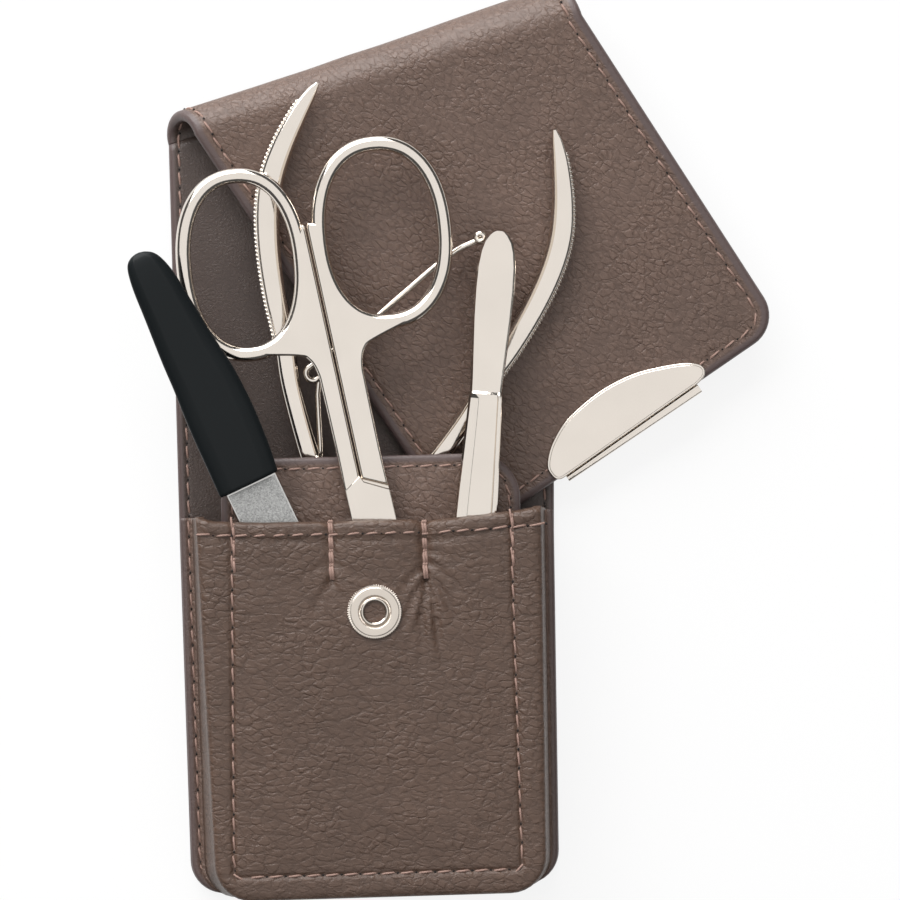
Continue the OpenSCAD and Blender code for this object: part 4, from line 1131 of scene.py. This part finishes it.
def abrasive_material(name):
    """Grit bonded to steel: light and dark grains, each tilted its own way."""
    material, tree = start_material(name)
    place = add_node(tree, "ShaderNodeTexCoord").outputs["Object"]
    grains = add_node(tree, "ShaderNodeTexVoronoi", Vector=place, Scale=1 / (0.2 * MM)).outputs["Color"]
    shade = add_node(tree, "ShaderNodeSeparateColor", grains).outputs[0]
    mixed = add_node(tree, "ShaderNodeMath", shade, 0.55, speckle(tree, place, 0.3, 2.0),
                     operation="MULTIPLY_ADD").outputs[0]
    bump = add_node(tree, "ShaderNodeBump", Strength=0.8, Distance=0.06 * MM, Height=mixed)
    surface(tree, mixed_colour(tree, mapped(tree, mixed, 0.3, 1.15), (0.20, 0.20, 0.195, 1),
                               (0.46, 0.46, 0.45, 1)), 0.45, bump.outputs[0], Metallic=0.35)
    return material


# Places along the handle: middle, height above the blade's end, half width, half thickness
handle_places = smooth_path([
    (0.6, 0.0, 5.30, 1.15), (0.61, 0.12, 5.46, 1.38), (0.64, 0.45, 5.58, 1.55), (0.68, 1.2, 5.63, 1.64),
    (0.95, 5.0, 5.82, 1.80), (1.2, 11.2, 5.95, 1.9), (1.3, 15.3, 5.86, 1.9), (1.35, 20.7, 5.53, 1.9),
    (1.1, 26.0, 5.06, 1.86), (0.95, 34.1, 4.34, 1.79), (0.83, 39.1, 3.9, 1.63), (0.66, 42.2, 3.27, 1.37),
    (0.5, 43.8, 2.5, 1.06), (0.4, 44.6, 1.43, 0.68), (0.35, 44.9, 0.4, 0.3)], 7)
section = [tuple(p) for p in smooth_path([
    (0.02, 1.0), (0.3, 1.0), (0.5, 0.995), (0.6, 0.95), (0.8, 0.74), (0.92, 0.56), (0.985, 0.38), (1.0, 0.2),
    (1.0, 0.02)], 4)]
section += [(x, -z) for x, z in section[::-1]]
section += [(-x, z) for x, z in section[::-1]]
handle_points = [Vector((mid + half * x, y, thick * z)) for mid, y, half, thick in handle_places
                 for x, z in section]
handle_faces = grid_faces(len(handle_places), len(section), around=True, ends=True)
black_plastic = plastic_material("black_plastic", (0.0075, 0.0095, 0.0105), 0.36)
metal_piece("file_grip", [(handle_points, handle_faces)], file_frame, "file", ["file_handle"],
            black_plastic, 50)


def blade_edge(inset, top, tang=None):
    """Outline of the blade, round at its far end, with the tang that the handle holds."""
    mid, half, low, end, tang_half = 0.9, 4.7 - inset, -31.68, -44 + inset, 3
    arc = [on_circle(1, a) for a in range(0, -181, -5)]
    line = [(mid + half, top)] + [(mid + half * x, low + (low - end) * y) for x, y in arc]
    line.append((mid - half, top))
    if tang:
        line += [(mid - tang_half, top), (mid - tang_half, tang), (mid + tang_half, tang),
                 (mid + tang_half, top)]
    return line


ground_steel = metal_material("ground_steel", (0.62, 0.61, 0.59), 0.3, stretch=(1, 0.15, 1))
grit = abrasive_material("bonded_grit")
metal_piece("file_steel", [flat_form([blade_edge(0, 0.4, 17.9)], 1.0, 0.12)], file_frame, "file",
            ["file_blade"], ground_steel)
for name, z, stands_for in (("file_grit_front", 0.575, "file_abrasive_front"),
                            ("file_grit_back", -0.575, "file_abrasive_back")):
    metal_piece(name, [flat_form([blade_edge(0.25, -0.3)], 0.15, 0.05, z, 2)], file_frame, "file",
                [stands_for], grit)

# Press stud and plate. The socket's ring, its eyelet and washer and the two wires that grip the
# stud sit in the pouch's front. The stud sits behind the half-moon plate on the flap's end.
def knurled_ring(profile, teeth=72, steps=6):
    """A turned ring with a toothed rim. Its closed section is (radius, height), and where there
    are teeth also how deep they cut the rim and the face."""
    points, count = [], teeth * steps
    for r, z, *cuts in profile:
        rim, face = cuts or (0, 0)
        for i in range(count):
            tooth = 0.5 - 0.5 * math.cos(2 * math.pi * i / steps)
            points.append(Vector((*on_circle(r - rim * tooth, 360 * i / count), z - face * tooth)))
    return points, grid_faces(len(profile), count, around=True, closed=True)


upright = Matrix.Identity(4)
dull_nickel = metal_material("dull_nickel", (0.70, 0.63, 0.56), 0.2)
eyelet_brass = metal_material("eyelet_brass", (0.42, 0.31, 0.19), 0.28)
ring_section = [(1.85, 0.0), (1.85, 0.5), (1.93, 0.68), (2.12, 0.79), (2.32, 0.76), (2.45, 0.64),
                (2.58, 0.58, 0, 0.1), (2.78, 0.58, 0, 0.1), (2.92, 0.64), (3.1, 0.7), (3.6, 0.74),
                (4.05, 0.71), (4.2, 0.66), (4.3, 0.62, 0, 0.04), (4.48, 0.62, 0.04, 0.06),
                (4.68, 0.62, 0.1, 0.07), (4.83, 0.56, 0.3, 0.05), (4.85, 0.4, 0.36, 0),
                (4.85, 0.12, 0.36, 0), (4.72, 0.0, 0.1, 0)]
eyelet_section = [(1.85, 19.15), (2.3, 19.15), (2.3, face_z), (1.85, face_z)]
washer_section = [(2.15, 18.65), (3.25, 18.65), (3.35, 18.75), (3.35, 19.05), (3.25, 19.15),
                  (2.15, 19.15)]
metal_piece("socket_ring", [knurled_ring(ring_section)], Matrix.Translation((0, 0, face_z)), "case",
            ["socket_flange"], dull_nickel, 20)
metal_piece("socket_eyelet", [knurled_ring(eyelet_section, 24)], upright, "case", ["socket_post"],
            eyelet_brass)
metal_piece("socket_back_washer", [knurled_ring(washer_section, 24)], upright, "case",
            ["socket_washer"])
wire_x, wire_z, wire_thin = 0.925, 18.9, 0.25
wire_half = math.sqrt(2.15 ** 2 - (wire_x + wire_thin) ** 2)
wires = [swept_form([Vector((side * wire_x, wire_half * k / 6, wire_z)) for k in range(-6, 7)],
                    wire_thin, wire_thin) for side in (-1, 1)]
metal_piece("socket_wires", wires, upright, "case", ["socket_spring"])

# The plate is stamped: a low rim follows its arc, and its straight side is folded over the flap's
# edge into a clip. The lip steps down twice before it turns under.
plate_edge = smooth_path([
    (42.6, 0.62), (41.2, 0.75), (40.35, 1.7), (40.35, 3.6), (41.6, 5.4), (43.8, 7.2), (47.3, 8.95),
    (51.3, 9.8), (55.6, 10.2), (59.9, 9.95), (63.7, 9.2), (67.2, 7.95), (70.0, 6.75), (72.1, 5.6),
    (73.45, 4.45), (73.8, 3.3), (73.2, 2.25), (72.0, 1.75), (71.1, 1.58)], 5)
plate_middle = Vector((57.2, 4.2))


def shrunk(outline, by):
    """The outline moved inwards by a small width, away from its own edge."""
    out = []
    for i, p in enumerate(outline):
        along = outline[(i + 1) % len(outline)] - outline[i - 1]
        inward = Vector((along.y, -along.x)).normalized()
        out.append(p + inward * math.copysign(by, inward.dot(plate_middle - p)))
    return out


plate_forms = [flat_form([plate_edge], 0.55, 0.24, 1.275, 4),
               flat_form([shrunk(plate_edge, 0.42)], 0.5, 0.12, 1.56, 3)]
metal_piece("half_moon_plate", plate_forms, flap_frame, "flap", ["closure_plate"])
# The clip's section: places from the plate's chord, then places from the lip's own line
from_chord = ((-0.14, 1.0), (-0.14, 1.58), (-0.2, 1.64), (-0.42, 1.63), (-0.5, 1.56), (-0.53, 1.46))
from_lip = ((0.4, 1.42), (0.16, 1.34), (0.03, 1.16), (0, 0.9), (0, -1.3), (0.08, -1.6), (0.3, -1.77),
            (0.5, -1.8), (3.9, -1.8), (4, -1.7), (4, -1.1), (3.9, -1.02), (0.5, -1.02), (0.42, -0.95),
            (0.42, 0.95))
clip_left, clip_width, clip_steps = 42.4, 28.8, 24
clip_points = []
for share in (i / clip_steps for i in range(clip_steps + 1)):
    x, chord, lip = clip_left + clip_width * share, 0.6 + 1.0 * share, -0.5 + 0.4 * share
    clip_points += [Vector((x, chord + y, z)) for y, z in from_chord]
    clip_points += [Vector((x, lip + y, z)) for y, z in from_lip]
clip_faces = grid_faces(clip_steps + 1, len(from_chord + from_lip), around=True, ends=True)
metal_piece("plate_clip", [(clip_points, clip_faces)], flap_frame, "flap", ["closure_clip"])
stud_forms = [turned_form(profile) for profile in (
    [(0, -2.1), (1.55, -2.1), (3.1, -2.1), (3.3, -2.0), (3.4, -1.85), (3.4, -1.0), (0, -1.0)],
    [(0, -5.3), (0.8, -5.26), (1.35, -5.1), (1.62, -4.8), (1.65, -4.45), (1.5, -4.1), (1.38, -3.7),
     (1.38, -3.2), (1.48, -2.6), (1.7, -2.2), (1.85, -2.1), (0, -2.1)],
    [(0, -1.0), (1.2, -1.0), (1.2, 1.0), (0, 1.0)])]
stud_place = flap_frame @ Matrix.Translation((57.0, 5.8, 0))
metal_piece("stud", stud_forms, stud_place, "flap", ["press_stud", "stud_rivet"])
